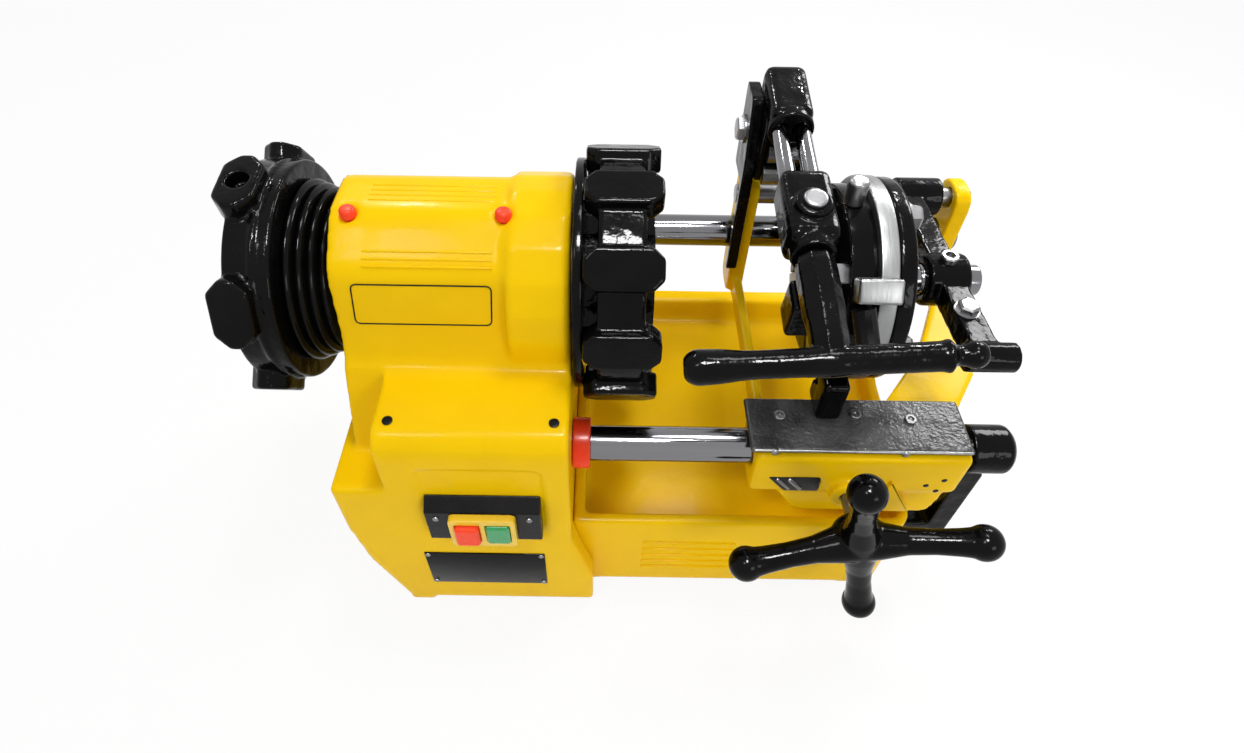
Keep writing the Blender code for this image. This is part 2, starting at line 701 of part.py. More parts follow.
# Bearings and spindle
for name, left, right in (
    ("bearing_rear", HOUSING_LEFT, HOUSING_LEFT + BEARING_REAR_LENGTH),
    ("bearing_front", HOUSING_RIGHT - BEARING_FRONT_LENGTH, HOUSING_RIGHT),
):
    put(name, ring(left, right, running_bore(SPINDLE_RADIUS), BEARING_RADIUS), "bronze")
SPINDLE_LEFT = REAR_LEFT + 0.014
SPINDLE_RIGHT = CHUCK_LEFT + 0.024
put(
    "spindle_tube",
    ring(SPINDLE_LEFT, SPINDLE_RIGHT, SPINDLE_BORE_RADIUS, SPINDLE_RADIUS, chamfer=0.001),
    "steel",
)
wheel = gear(SPINDLE_GEAR_TEETH, SPINDLE_GEAR_RADIUS, TOOTH_DEPTH, GEAR_LEFT, GEAR_LEFT + GEAR_WIDTH, 0, 0)
put("spindle_gear", cut(wheel, ring(-0.2, 0.0, 0.0, SPINDLE_RADIUS + SEAT_GAP)), "steel")


def chuck_jaw(name, x0, x1, inner, turn):
    """A jaw reaching in from one side of the bore, its gripping edge cut to a blunt V."""
    half = JAW_WIDTH / 2
    outline = [
        (-half, inner + 0.004),
        (-half * 0.35, inner),
        (half * 0.35, inner),
        (half, inner + 0.004),
        (half, inner + JAW_LENGTH),
        (-half, inner + JAW_LENGTH),
    ]
    return put(name, moved(prism(outline, 0, x0, x1), about_x(turn)), "steel")


def jaw_slot(x0, x1, outer, turn):
    half = JAW_WIDTH / 2 + RUN_GAP
    return moved(block(x0, x1, -half, half, SPINDLE_BORE_RADIUS - 0.012, outer), about_x(turn))


# Hammer chuck: body on the spindle, lobed hand wheel around it, three jaws
CHUCK_JAW_LEFT = SPINDLE_RIGHT + 0.006
drum = turned(
    [
        (CHUCK_LEFT, SPINDLE_RADIUS + SEAT_GAP),
        (CHUCK_LEFT, CHUCK_RING_RADIUS - 0.002),
        (CHUCK_LEFT + CHUCK_PLATE, CHUCK_RING_RADIUS - 0.002),
        (CHUCK_LEFT + CHUCK_PLATE, CHUCK_BODY_RADIUS),
        (CHUCK_RIGHT - 0.004, CHUCK_BODY_RADIUS),
        (CHUCK_RIGHT - 0.004, SPINDLE_BORE_RADIUS),
        (SPINDLE_RIGHT + SEAT_GAP, SPINDLE_BORE_RADIUS),
        (SPINDLE_RIGHT + SEAT_GAP, SPINDLE_RADIUS + SEAT_GAP),
    ]
)
JAW_TURNS = [math.radians(30 + 120 * i) for i in range(3)]
for turn in JAW_TURNS:
    drum = cut(
        drum,
        jaw_slot(
            CHUCK_JAW_LEFT - RUN_GAP,
            CHUCK_JAW_LEFT + JAW_THICKNESS + RUN_GAP,
            JAW_REACH + JAW_LENGTH + RUN_GAP,
            turn,
        ),
    )
put("hammer_chuck_body", drum, "black_enamel")
for i, turn in enumerate(JAW_TURNS):
    chuck_jaw("hammer_jaw_%d" % (i + 1), CHUCK_JAW_LEFT, CHUCK_JAW_LEFT + JAW_THICKNESS, JAW_REACH, turn)


def lobed_wheel(x0, x1, core0, core1, bore, core_radius, lobe_radius, lobes, width, start, corner):
    """A ring with eight-sided hand lobes standing around it."""
    shape = ring(core0, core1, bore, core_radius, chamfer=0.002)
    half = width / 2
    outline = [
        (x0 + corner, -half),
        (x1 - corner, -half),
        (x1, corner - half),
        (x1, half - corner),
        (x1 - corner, half),
        (x0 + corner, half),
        (x0, half - corner),
        (x0, corner - half),
    ]
    for i in range(lobes):
        lobe = prism(outline, 2, core_radius - 0.010, lobe_radius)
        shape = union(shape, moved(lobe, about_x(start + 2 * math.pi * i / lobes)))
    return shape


WHEEL_LEFT = CHUCK_LEFT + CHUCK_PLATE + RUN_GAP
put(
    "hammer_chuck_wheel",
    lobed_wheel(
        WHEEL_LEFT,
        CHUCK_RIGHT,
        WHEEL_LEFT + 0.009,
        CHUCK_RIGHT - 0.011,
        running_bore(CHUCK_BODY_RADIUS),
        CHUCK_RING_RADIUS,
        CHUCK_LOBE_RADIUS,
        CHUCK_LOBES,
        CHUCK_LOBE_WIDTH,
        math.radians(48 - 74),
        CHUCK_LOBE_CORNER,
    ),
    "black_enamel",
)

# Rear centring chuck: ribbed body, lobed wheel, three jaws
REAR_WHEEL_RIGHT = REAR_LEFT + REAR_WHEEL_WIDTH
rib_pitch = (REAR_RIGHT - REAR_WHEEL_RIGHT - RUN_GAP) / REAR_RIBS
profile = [(SPINDLE_LEFT - 0.010, SPINDLE_BORE_RADIUS), (SPINDLE_LEFT - 0.010, REAR_BODY_RADIUS)]
for i in range(REAR_RIBS):
    left = REAR_WHEEL_RIGHT + RUN_GAP + i * rib_pitch
    radius = REAR_RIB_RADIUS - 0.003 * i
    profile += [
        (left, REAR_BODY_RADIUS if i == 0 else REAR_RIB_RADIUS - 0.008),
        (left + rib_pitch * 0.18, radius),
        (left + rib_pitch * 0.70, radius),
        (left + rib_pitch * 0.88, REAR_RIB_RADIUS - 0.008),
    ]
profile += [
    (REAR_RIGHT, REAR_RIB_RADIUS - 0.008),
    (REAR_RIGHT, SPINDLE_RADIUS + SEAT_GAP),
    (SPINDLE_LEFT - SEAT_GAP, SPINDLE_RADIUS + SEAT_GAP),
    (SPINDLE_LEFT - SEAT_GAP, SPINDLE_BORE_RADIUS),
]
rear_body = turned(profile)
put("rear_chuck_body", rear_body, "black_enamel")
rear_wheel = lobed_wheel(
    REAR_LEFT,
    REAR_LEFT + REAR_LOBE_LENGTH,
    REAR_LEFT + 0.006,
    REAR_WHEEL_RIGHT,
    running_bore(REAR_BODY_RADIUS),
    REAR_RING_RADIUS,
    REAR_LOBE_RADIUS,
    REAR_LOBES,
    REAR_LOBE_WIDTH,
    REAR_TURN,
    REAR_LOBE_CORNER,
)
hole = moved(
    ring(REAR_RING_RADIUS - 0.010, 0.100, 0.0, 0.007, 2, (REAR_LEFT + REAR_LOBE_LENGTH / 2, 0, 0), SMALL_ROUND),
    about_x(REAR_TURN),
)
put("rear_chuck_wheel", cut(rear_wheel, hole), "black_enamel")
for i, turn in enumerate(JAW_TURNS):
    x1 = SPINDLE_LEFT - 0.010 - RUN_GAP
    chuck_jaw("rear_jaw_%d" % (i + 1), x1 - 0.006, x1, REAR_BODY_RADIUS - JAW_LENGTH - 0.001, turn)

# Gear train inside the housing
LAY_Y, LAY_Z = 0.0, -(SPINDLE_GEAR_RADIUS + LAY_PINION_RADIUS - TOOTH_DEPTH + 0.0029)
MOTOR_Y, MOTOR_Z = 0.0, LAY_Z - (LAY_GEAR_RADIUS + MOTOR_PINION_RADIUS - TOOTH_DEPTH + 0.0029)
half_tooth = math.pi / LAY_PINION_TEETH
lay = gear(
    LAY_PINION_TEETH, LAY_PINION_RADIUS, TOOTH_DEPTH, GEAR_LEFT, GEAR_LEFT + GEAR_WIDTH, LAY_Y, LAY_Z, half_tooth
)
lay_gear = gear(
    LAY_GEAR_TEETH,
    LAY_GEAR_RADIUS,
    TOOTH_DEPTH,
    SECOND_STAGE_LEFT,
    SECOND_STAGE_LEFT + SECOND_STAGE_WIDTH,
    LAY_Y,
    LAY_Z,
    math.pi / 2,
)
lay_axle = rod((GEAR_LEFT - 0.006, LAY_Y, LAY_Z), (-0.048, LAY_Y, LAY_Z), LAY_SHAFT_RADIUS)
put("layshaft_gears", union(lay, lay_axle, lay_gear), "steel", (0.0, LAY_Y, LAY_Z))
motor_pinion = gear(
    MOTOR_PINION_TEETH,
    MOTOR_PINION_RADIUS,
    TOOTH_DEPTH,
    SECOND_STAGE_LEFT,
    SECOND_STAGE_LEFT + SECOND_STAGE_WIDTH,
    MOTOR_Y,
    MOTOR_Z,
    math.pi / 2 + math.pi / MOTOR_PINION_TEETH,
)
motor_axle = rod((MOTOR_LEFT + 0.020, MOTOR_Y, MOTOR_Z), (-0.050, MOTOR_Y, MOTOR_Z), MOTOR_SHAFT_RADIUS)
armature = rod((MOTOR_LEFT + 0.026, MOTOR_Y, MOTOR_Z), (MOTOR_RIGHT - 0.012, MOTOR_Y, MOTOR_Z), 0.022, 16)
put("motor_rotor", union(motor_axle, motor_pinion, armature), "steel", (0.0, MOTOR_Y, MOTOR_Z))
can = turned(
    [
        (MOTOR_LEFT, 0.0),
        (MOTOR_LEFT, MOTOR_RADIUS - 0.004),
        (MOTOR_LEFT + 0.004, MOTOR_RADIUS),
        (MOTOR_RIGHT, MOTOR_RADIUS),
        (MOTOR_RIGHT, MOTOR_SHAFT_RADIUS + RUN_GAP),
        (MOTOR_RIGHT - 0.008, MOTOR_SHAFT_RADIUS + RUN_GAP),
        (MOTOR_RIGHT - 0.008, MOTOR_RADIUS - 0.006),
        (MOTOR_LEFT + 0.008, MOTOR_RADIUS - 0.006),
        (MOTOR_LEFT + 0.008, 0.0),
    ],
    0,
    (0, MOTOR_Y, MOTOR_Z),
    16,
)
put("motor_body", can, "motor_grey")
plate = prism(
    [
        (PLATE_FRONT, PLATE_LOW),
        (PLATE_REAR, PLATE_LOW),
        (PLATE_REAR, PLATE_TOP - 0.072),
        (PLATE_REAR - 0.037, PLATE_TOP - 0.034),
        (PLATE_REAR - 0.057, PLATE_TOP),
        (PLATE_FRONT + 0.058, PLATE_TOP),
        (PLATE_FRONT, PLATE_TOP - 0.014),
    ],
    0,
    GEAR_PLATE_X,
    GEAR_PLATE_X + GEAR_PLATE_THICKNESS,
)
for axle_y, axle_z, axle_radius in ((LAY_Y, LAY_Z, LAY_SHAFT_RADIUS), (MOTOR_Y, MOTOR_Z, MOTOR_SHAFT_RADIUS)):
    plate = cut(plate, ring(-0.1, 0.0, 0.0, axle_radius + RUN_GAP, 0, (0, axle_y, axle_z), 16))
put("gear_plate", plate, "motor_grey")

# Carriage: front sleeve and apron, two arms, two rear ears
sleeve = block(CARRIAGE_LEFT, CARRIAGE_RIGHT, SLEEVE_FRONT, SLEEVE_REAR, SLEEVE_BOTTOM, SLEEVE_TOP, 0.004)
apron = prism(
    rounded(
        [
            (CARRIAGE_LEFT + 0.014, SLEEVE_BOTTOM + 0.01),
            (CARRIAGE_RIGHT - 0.004, SLEEVE_BOTTOM + 0.01),
            (CARRIAGE_RIGHT - 0.010, SLEEVE_BOTTOM - APRON_DROP),
            (CARRIAGE_LEFT + 0.040, SLEEVE_BOTTOM - APRON_DROP),
        ],
        0.010,
    ),
    1,
    SLEEVE_FRONT + 0.003,
    SLEEVE_FRONT + 0.013,
)
ear_front, ear_rear = REAR_RAIL_Y - EAR_DEPTH / 2, REAR_RAIL_Y + EAR_DEPTH / 2


def ear_side(top):
    return rounded([(ear_front, ARM_BOTTOM), (ear_front, top), (ear_rear, top), (ear_rear, ARM_BOTTOM)], 0.014, 3)


left_ear = prism(ear_side(EAR_TOP), 0, CARRIAGE_LEFT, CARRIAGE_LEFT + EAR_WIDTH)
right_ear = prism(ear_side(RIGHT_EAR_TOP), 0, EAR_RIGHT - EAR_WIDTH, EAR_RIGHT)
left_arm = block(
    CARRIAGE_LEFT + 0.0047, CARRIAGE_LEFT + EAR_WIDTH - 0.001, SLEEVE_REAR - 0.01, ear_rear - 0.002, ARM_BOTTOM + 0.002, ARM_TOP
)
right_arm = prism(
    [
        (CARRIAGE_RIGHT - 0.060, SLEEVE_REAR - 0.006),
        (CARRIAGE_RIGHT - 0.002, SLEEVE_REAR - 0.006),
        (EAR_RIGHT - 0.002, -0.020),
        (EAR_RIGHT - 0.002, ear_rear - 0.002),
        (EAR_RIGHT - EAR_WIDTH + 0.001, ear_rear - 0.002),
        (EAR_RIGHT - EAR_WIDTH + 0.001, 0.060),
        (EAR_RIGHT - 0.040, 0.000),
    ],
    2,
    ARM_BOTTOM + 0.010,
    ARM_TOP,
)
PINION_Z = FRONT_RAIL_Z - RAIL_RADIUS - PINION_RADIUS - RUN_GAP
boss = rod((WHEEL_X, SLEEVE_FRONT - 0.008, PINION_Z), (WHEEL_X, SLEEVE_FRONT + 0.012, PINION_Z), 0.014, 16)
casting = union(sleeve, apron, left_ear, right_ear, left_arm, right_arm, boss)
for rail_y, rail_z in ((FRONT_RAIL_Y, FRONT_RAIL_Z), (REAR_RAIL_Y, REAR_RAIL_Z)):
    casting = cut(casting, ring(0.05, 0.35, 0.0, RAIL_RADIUS + RUN_GAP, 0, (0, rail_y, rail_z), 16))
casting = cut(
    casting,
    ring(0.05, 0.35, 0.0, TOOL_SHAFT_RADIUS + SEAT_GAP, 0, (0, REAR_RAIL_Y, TOOL_SHAFT_Z), 16),
    rod((WHEEL_X, -0.15, PINION_Z), (WHEEL_X, SLEEVE_REAR - 0.006, PINION_Z), PINION_SHAFT_RADIUS + RUN_GAP),
    block(
        WHEEL_X - PINION_RADIUS - SIDE_GAP,
        WHEEL_X + PINION_RADIUS + SIDE_GAP,
        FRONT_RAIL_Y - 0.009,
        FRONT_RAIL_Y + 0.009,
        SLEEVE_BOTTOM - 0.01,
        FRONT_RAIL_Z,
    ),
    block(
        CARRIAGE_LEFT + 0.027,
        CARRIAGE_LEFT + 0.027 + WINDOW_WIDTH,
        SLEEVE_FRONT - 0.01,
        SLEEVE_FRONT + 0.004,
        SLEEVE_BOTTOM + 0.004,
        SLEEVE_BOTTOM + 0.004 + WINDOW_HEIGHT,
        0.003,
        1,
    ),
)
put("carriage_casting", casting, "yellow_paint")
put(
    "carriage_cover",
    block(
        CARRIAGE_LEFT - 0.004,
        CARRIAGE_RIGHT,
        SLEEVE_FRONT + 0.004,
        SLEEVE_REAR + 0.004,
        SLEEVE_TOP + SEAT_GAP,
        SLEEVE_TOP + SEAT_GAP + COVER_THICKNESS,
        0.0015,
        None,
        1,
    ),
    "black_enamel",
)
put(
    "tool_shaft",
    ring(
        CARRIAGE_LEFT - 0.003,
        EAR_RIGHT + 0.003,
        0.0,
        TOOL_SHAFT_RADIUS,
        0,
        (0, REAR_RAIL_Y, TOOL_SHAFT_Z),
        16,
        0.001,
    ),
    "steel",
)

# Star handwheel and its pinion shaft
pinion_shaft = rod(
    (WHEEL_X, WHEEL_Y + 0.004, PINION_Z), (WHEEL_X, FRONT_RAIL_Y + 0.016, PINION_Z), PINION_SHAFT_RADIUS
)
pinion = prism(
    [(WHEEL_X + a, PINION_Z + b) for a, b in gear_outline(PINION_TEETH, PINION_RADIUS, 0.0018)],
    1,
    FRONT_RAIL_Y - 0.008,
    FRONT_RAIL_Y + 0.008,
)
put("pinion_shaft", union(pinion_shaft, pinion), "steel", (WHEEL_X, WHEEL_Y, PINION_Z))
star = turned(
    [
        (-0.012, 0.0),
        (-0.012, STAR_HUB_RADIUS - 0.006),
        (-0.006, STAR_HUB_RADIUS),
        (0.012, STAR_HUB_RADIUS),
        (0.016, STAR_HUB_RADIUS - 0.004),
        (0.016, PINION_SHAFT_RADIUS + SEAT_GAP),
        (0.0035, PINION_SHAFT_RADIUS + SEAT_GAP),
        (0.0035, 0.0),
    ],
    1,
    (WHEEL_X, WHEEL_Y, PINION_Z),
    16,
)
for i in range(4):
    angle = STAR_TURN + math.pi / 2 * i
    reach = Vector((math.cos(angle), 0.0, math.sin(angle)))
    root = Vector((WHEEL_X, WHEEL_Y, PINION_Z)) + reach * (STAR_HUB_RADIUS - 0.006)
    tip = Vector((WHEEL_X, WHEEL_Y - STAR_DISH, PINION_Z)) + reach * STAR_RADIUS
    star = union(star, rod(root, tip, STAR_ARM_RADIUS, 12), ball(tip, STAR_BALL_RADIUS))
put("handwheel", star, "black_enamel", (WHEEL_X, WHEEL_Y, PINION_Z))

# Cutter bracket standing on the left ear, with the swing pin near its top
bracket_front = ear_front - SEAT_GAP - 0.007
bracket = prism(
    rounded(
        [
            (bracket_front, -0.062),
            (ear_front - SEAT_GAP, -0.062),
            (ear_front - SEAT_GAP, EAR_TOP + SEAT_GAP),
            (ear_rear - 0.006, EAR_TOP + SEAT_GAP),
            (CUTTER_PIN_Y + 0.014, BRACKET_TOP),
            (CUTTER_PIN_Y - 0.014, BRACKET_TOP),
            (bracket_front, EAR_TOP + 0.020),
        ],
        0.004,
        2,
    ),
    0,
    BRACKET_LEFT,
    BRACKET_LEFT + BRACKET_THICKNESS,
)
pin_centre = (0.0, CUTTER_PIN_Y, CUTTER_PIN_Z)
bracket = cut(bracket, ring(0.05, 0.2, 0.0, CUTTER_PIN_RADIUS + SEAT_GAP, 0, pin_centre, SMALL_ROUND))
put("cutter_bracket", bracket, "black_enamel")
put(
    "cutter_pin",
    turned(
        [
            (BRACKET_LEFT - 0.006, 0.0),
            (BRACKET_LEFT - 0.006, CUTTER_PIN_RADIUS + 0.004),
            (BRACKET_LEFT - SEAT_GAP, CUTTER_PIN_RADIUS + 0.004),
            (BRACKET_LEFT - SEAT_GAP, CUTTER_PIN_RADIUS),
            (CUTTER_X + YOKE_WIDTH / 2 + 0.0018, CUTTER_PIN_RADIUS),
            (CUTTER_X + YOKE_WIDTH / 2 + 0.0018, 0.0),
        ],
        0,
        pin_centre,
        SMALL_ROUND,
    ),
    "steel",
)

# Pipe cutter, drawn along its own axis from the T bar and then laid in place
CUTTER_PLACE = (
    Matrix.Translation((CUTTER_X, CUTTER_BAR_Y, CUTTER_BAR_Z)) @ Matrix.Rotation(CUTTER_INCLINE, 4, "X")
)
PIN_LOCAL = CUTTER_PLACE.inverted() @ Vector((CUTTER_X, CUTTER_PIN_Y, CUTTER_PIN_Z))


def on_cutter(point):
    return tuple(CUTTER_PLACE @ Vector(point))


def put_cutter(name, shape, slot, origin):
    return put(name, moved(shape, CUTTER_PLACE), slot, on_cutter(origin))


half_w, half_h = CUTTER_HOUSING_WIDTH / 2, CUTTER_HOUSING_HEIGHT / 2
nut_house = union(
    block(-half_w, half_w, CUTTER_HOUSING_START, CUTTER_HOUSING_END, -half_h, half_h, 0.006),
    ring(half_h - 0.004, half_h + 0.005, 0.0, 0.012, 2, (0, CUTTER_BOSS_AT, 0), 16, 0.001),
    ring(CUTTER_HOUSING_START - 0.006, CUTTER_HOUSING_START + 0.01, 0.0, 0.0145, 1, (0, 0, 0), 16),
)
rod_seats = [(side * ROD_SPACING / 2, CUTTER_HOUSING_END - 0.020) for side in (-1, 1)]
for rod_x, rod_start in rod_seats:
    nut_house = cut(
        nut_house,
        rod((rod_x, rod_start, 0), (rod_x, CUTTER_HOUSING_END + 0.02, 0), ROD_RADIUS + SEAT_GAP),
    )
SCREW_END = CUTTER_HOUSING_END - 0.024
nut_house = cut(
    nut_house, rod((0, CUTTER_HOUSING_START - 0.02, 0), (0, SCREW_END + 0.001, 0), SCREW_RADIUS + RUN_GAP)
)
put_cutter("cutter_housing", nut_house, "black_enamel", PIN_LOCAL)
yoke = block(-YOKE_WIDTH / 2, YOKE_WIDTH / 2, YOKE_START, YOKE_END, -YOKE_HEIGHT / 2, YOKE_HEIGHT / 2, 0.006)
yoke_left = BRACKET_LEFT + BRACKET_THICKNESS + SIDE_GAP - CUTTER_X
lug = prism(
    rounded(
        [
            (PIN_LOCAL.y - 0.014, 0.0),
            (PIN_LOCAL.y + 0.014, 0.0),
            (PIN_LOCAL.y + 0.014, PIN_LOCAL.z - 0.013),
            (PIN_LOCAL.y - 0.014, PIN_LOCAL.z - 0.013),
        ],
        0.010,
    ),
    0,
    yoke_left,
    YOKE_WIDTH / 2,
)
roller_lug = prism(
    rounded([(YOKE_START + 0.001, 0.0), (YOKE_START + 0.030, 0.0), (YOKE_START + 0.016, -0.052), (YOKE_START + 0.001, -0.052)], 0.004, 2),
    0,
    -ROLLER_LENGTH / 2 - RUN_GAP - 0.005,
    ROLLER_LENGTH / 2 + RUN_GAP + 0.005,
)
yoke = union(yoke, lug, roller_lug)
ROLLER_U = YOKE_START + 0.004
ROLLER_DROPS = (-0.024, -0.024 - ROLLER_PITCH)
yoke = cut(
    yoke,
    rod((-0.05, PIN_LOCAL.y, PIN_LOCAL.z), (0.05, PIN_LOCAL.y, PIN_LOCAL.z), CUTTER_PIN_RADIUS + RUN_GAP),
    block(
        -ROLLER_LENGTH / 2 - RUN_GAP,
        ROLLER_LENGTH / 2 + RUN_GAP,
        YOKE_START - 0.02,
        ROLLER_U + ROLLER_RADIUS + SIDE_GAP,
        -0.07,
        -YOKE_HEIGHT / 2 + 0.0005,
    ),
)
for rod_x, rod_start in rod_seats:
    yoke = cut(yoke, rod((rod_x, YOKE_START - 0.02, 0), (rod_x, YOKE_START + 0.020, 0), ROD_RADIUS + SEAT_GAP))
put_cutter("cutter_yoke", yoke, "black_enamel", PIN_LOCAL)
for i, (rod_x, rod_start) in enumerate(rod_seats):
    put_cutter(
        "guide_rod_%d" % (i + 1),
        rod((rod_x, rod_start + 0.0005, 0), (rod_x, YOKE_START + 0.0195, 0), ROD_RADIUS),
        "chrome",
        PIN_LOCAL,
    )
for i, drop in enumerate(ROLLER_DROPS):
    put_cutter(
        "cutter_roller_%d" % (i + 1),
        ring(-ROLLER_LENGTH / 2, ROLLER_LENGTH / 2, 0.0, ROLLER_RADIUS, 0, (0, ROLLER_U, drop), 16),
        "steel",
        (0, ROLLER_U, drop),
    )
slide_top = -half_h - RUN_GAP
slide_end = SLIDE_START + SLIDE_LENGTH
slide = union(
    block(-SLIDE_WIDTH / 2, SLIDE_WIDTH / 2, SLIDE_START, slide_end, slide_top - SLIDE_DROP, slide_top, 0.003),
    block(-0.006, 0.006, slide_end - 0.01, slide_end + 0.020, slide_top - 0.006, slide_top),
)
slide = cut(
    slide,
    block(
        -CUTTER_WHEEL_THICKNESS / 2 - RUN_GAP,
        CUTTER_WHEEL_THICKNESS / 2 + RUN_GAP,
        SLIDE_START + 0.006,
        slide_end + 0.03,
        slide_top - SLIDE_DROP - 0.01,
        slide_top - 0.003 - 0.004,
    ),
)
put_cutter("cutter_slide", slide, "black_enamel", (0, SLIDE_START, slide_top))
put_cutter(
    "cutter_wheel",
    turned(
        [
            (-CUTTER_WHEEL_THICKNESS / 2, 0.0),
            (-CUTTER_WHEEL_THICKNESS / 2, CUTTER_WHEEL_RADIUS * 0.6),
            (-0.0008, CUTTER_WHEEL_RADIUS * 0.7),
            (0.0, CUTTER_WHEEL_RADIUS * 0.8),
            (0.0008, CUTTER_WHEEL_RADIUS * 0.7),
            (CUTTER_WHEEL_THICKNESS / 2, CUTTER_WHEEL_RADIUS * 0.6),
            (CUTTER_WHEEL_THICKNESS / 2, 0.0),
        ],
        0,
        (0, slide_end - 0.003, -CUTTER_WHEEL_DROP),
        16,
    ),
    "steel",
    (0, slide_end - 0.003, -CUTTER_WHEEL_DROP),
)
stem = union(
    rod((0, T_BAR_RADIUS + 0.0008, 0), (0, CUTTER_HOUSING_START - 0.0065, 0), STEM_RADIUS, 20),
    rod((0, CUTTER_HOUSING_START - 0.012, 0), (0, SCREW_END, 0), SCREW_RADIUS, 20),
)
put_cutter("cutter_screw", stem, "black_enamel", (0, 0, 0))
t_bar = turned(
    [
        (-T_BAR_LENGTH / 2, 0.0),
        (-T_BAR_LENGTH / 2 + 0.001, T_BAR_RADIUS * 0.55),
        (-T_BAR_LENGTH / 2 + 0.005, T_BAR_RADIUS * 0.95),
        (-T_BAR_LENGTH / 2 + 0.012, T_BAR_RADIUS),
        (T_BAR_LENGTH / 2 - 0.016, T_BAR_RADIUS),
        (T_BAR_LENGTH / 2 - 0.016, T_BAR_RADIUS * 0.72),
        (T_BAR_LENGTH / 2 - 0.001, T_BAR_RADIUS * 0.72),
        (T_BAR_LENGTH / 2, T_BAR_RADIUS * 0.6),
        (T_BAR_LENGTH / 2, 0.0),
    ],
    0,
    (0, 0, 0),
    20,
)
T_BAR_TILT = math.radians(7)
put_cutter("cutter_t_bar", moved(t_bar, Matrix.Rotation(-T_BAR_TILT, 4, "Y")), "black_enamel", (0, 0, 0))

# Die head: body with its arm, cam ring, cover, four chasers
SHAFT_CENTRE = (0.0, REAR_RAIL_Y, TOOL_SHAFT_Z)
DIE_RIGHT = DIE_LEFT + DIE_BODY_LENGTH
CAM_LEFT = DIE_RIGHT + SEAT_GAP
CAM_RIGHT = CAM_LEFT + CAM_THICKNESS
COVER_LEFT = CAM_RIGHT + SEAT_GAP
die = turned(
    [
        (DIE_LEFT, DIE_BORE_RADIUS),
        (DIE_LEFT, DIE_BODY_RADIUS - 0.010),
        (DIE_LEFT + 0.008, DIE_BODY_RADIUS),
        (DIE_RIGHT, DIE_BODY_RADIUS),
        (DIE_RIGHT, DIE_SLEEVE_RADIUS),
        (CAM_RIGHT, DIE_SLEEVE_RADIUS),
        (CAM_RIGHT, DIE_BORE_RADIUS),
    ]
)
arm_left = DIE_LEFT + 0.006
arm = prism(
    [(0.045, -0.024), (REAR_RAIL_Y, TOOL_SHAFT_Z - 0.013), (REAR_RAIL_Y, TOOL_SHAFT_Z + 0.013), (0.045, 0.034)],
    0,
    arm_left,
    arm_left + DIE_ARM_WIDTH,
)
die_boss = ring(arm_left - 0.004, arm_left + DIE_ARM_WIDTH + 0.004, 0.0, DIE_BOSS_RADIUS, 0, SHAFT_CENTRE, 16)
COVER_TOP = SLEEVE_TOP + SEAT_GAP + COVER_THICKNESS
rest_foot = block(arm_left, arm_left + DIE_ARM_WIDTH, -0.074, -0.046, COVER_TOP + SEAT_GAP, -0.034, 0.003)
die = union(die, arm, die_boss, rest_foot)
die = cut(die, ring(0.1, 0.3, 0.0, TOOL_SHAFT_RADIUS + RUN_GAP, 0, SHAFT_CENTRE, 16))
CHASER_TURNS = [math.radians(45 + 90 * i) for i in range(4)]
for turn in CHASER_TURNS:
    half = CHASER_WIDTH / 2 + RUN_GAP
    slot = block(
        DIE_LEFT - 0.01, DIE_LEFT + CHASER_THICKNESS + RUN_GAP, -half, half, DIE_BORE_RADIUS - 0.01, DIE_BODY_RADIUS + 0.01
    )
    die = cut(die, moved(slot, about_x(turn)))
knob_place = (DIE_LEFT + 0.014, 0.0, 0.0)
die = cut(die, ring(DIE_BODY_RADIUS - 0.012, 0.09, 0.0, KNOB_RADIUS * 0.6 + SEAT_GAP, 2, knob_place, SMALL_ROUND))
put("die_head_body", die, "black_enamel", SHAFT_CENTRE)
for i, turn in enumerate(CHASER_TURNS):
    half = CHASER_WIDTH / 2
    outline = [
        (-half, CHASER_INNER + 0.005),
        (-half * 0.5, CHASER_INNER),
        (half * 0.5, CHASER_INNER),
        (half, CHASER_INNER + 0.005),
        (half, CHASER_OUTER),
        (-half, CHASER_OUTER),
    ]
    chaser = prism(outline, 0, DIE_LEFT + 0.0005, DIE_LEFT + CHASER_THICKNESS)
    put("chaser_%d" % (i + 1), moved(chaser, about_x(turn)), "steel")
put(
    "die_knob",
    turned(
        [
            (DIE_BODY_RADIUS - 0.011, 0.0),
            (DIE_BODY_RADIUS - 0.011, KNOB_RADIUS * 0.6),
            (DIE_BODY_RADIUS + 0.0005, KNOB_RADIUS * 0.6),
            (DIE_BODY_RADIUS + 0.0005, KNOB_RADIUS),
            (DIE_BODY_RADIUS + KNOB_HEIGHT - 0.001, KNOB_RADIUS),
            (DIE_BODY_RADIUS + KNOB_HEIGHT, KNOB_RADIUS - 0.001),
            (DIE_BODY_RADIUS + KNOB_HEIGHT, 0.0),
        ],
        2,
        knob_place,
        20,
    ),
    "chrome",
    SHAFT_CENTRE,
)
cam = ring(CAM_LEFT, CAM_RIGHT, running_bore(DIE_SLEEVE_RADIUS), CAM_RADIUS, chamfer=0.001)
LEVER_TURN = math.radians(48 + 6)
cam_lug = block(
    CAM_LEFT - CAM_LUG, CAM_RIGHT, -0.009, 0.009, DIE_BODY_RADIUS + SIDE_GAP, CAM_RADIUS + 0.010, 0.002
)
cam = union(cam, moved(cam_lug, about_x(LEVER_TURN)))
lever_x = CAM_LEFT - CAM_LUG / 2
put("cam_ring", cam, "aluminium")
lever_root = about_x(LEVER_TURN) @ Vector((lever_x, -0.0112, CAM_RADIUS + 0.001))
lever_way = Vector((0.2, -math.cos(LEVER_DIP), -math.sin(LEVER_DIP))).normalized()
lever = rod(lever_root, lever_root + lever_way * LEVER_LENGTH, LEVER_RADIUS)
put("cam_lever", lever, "black_plastic")
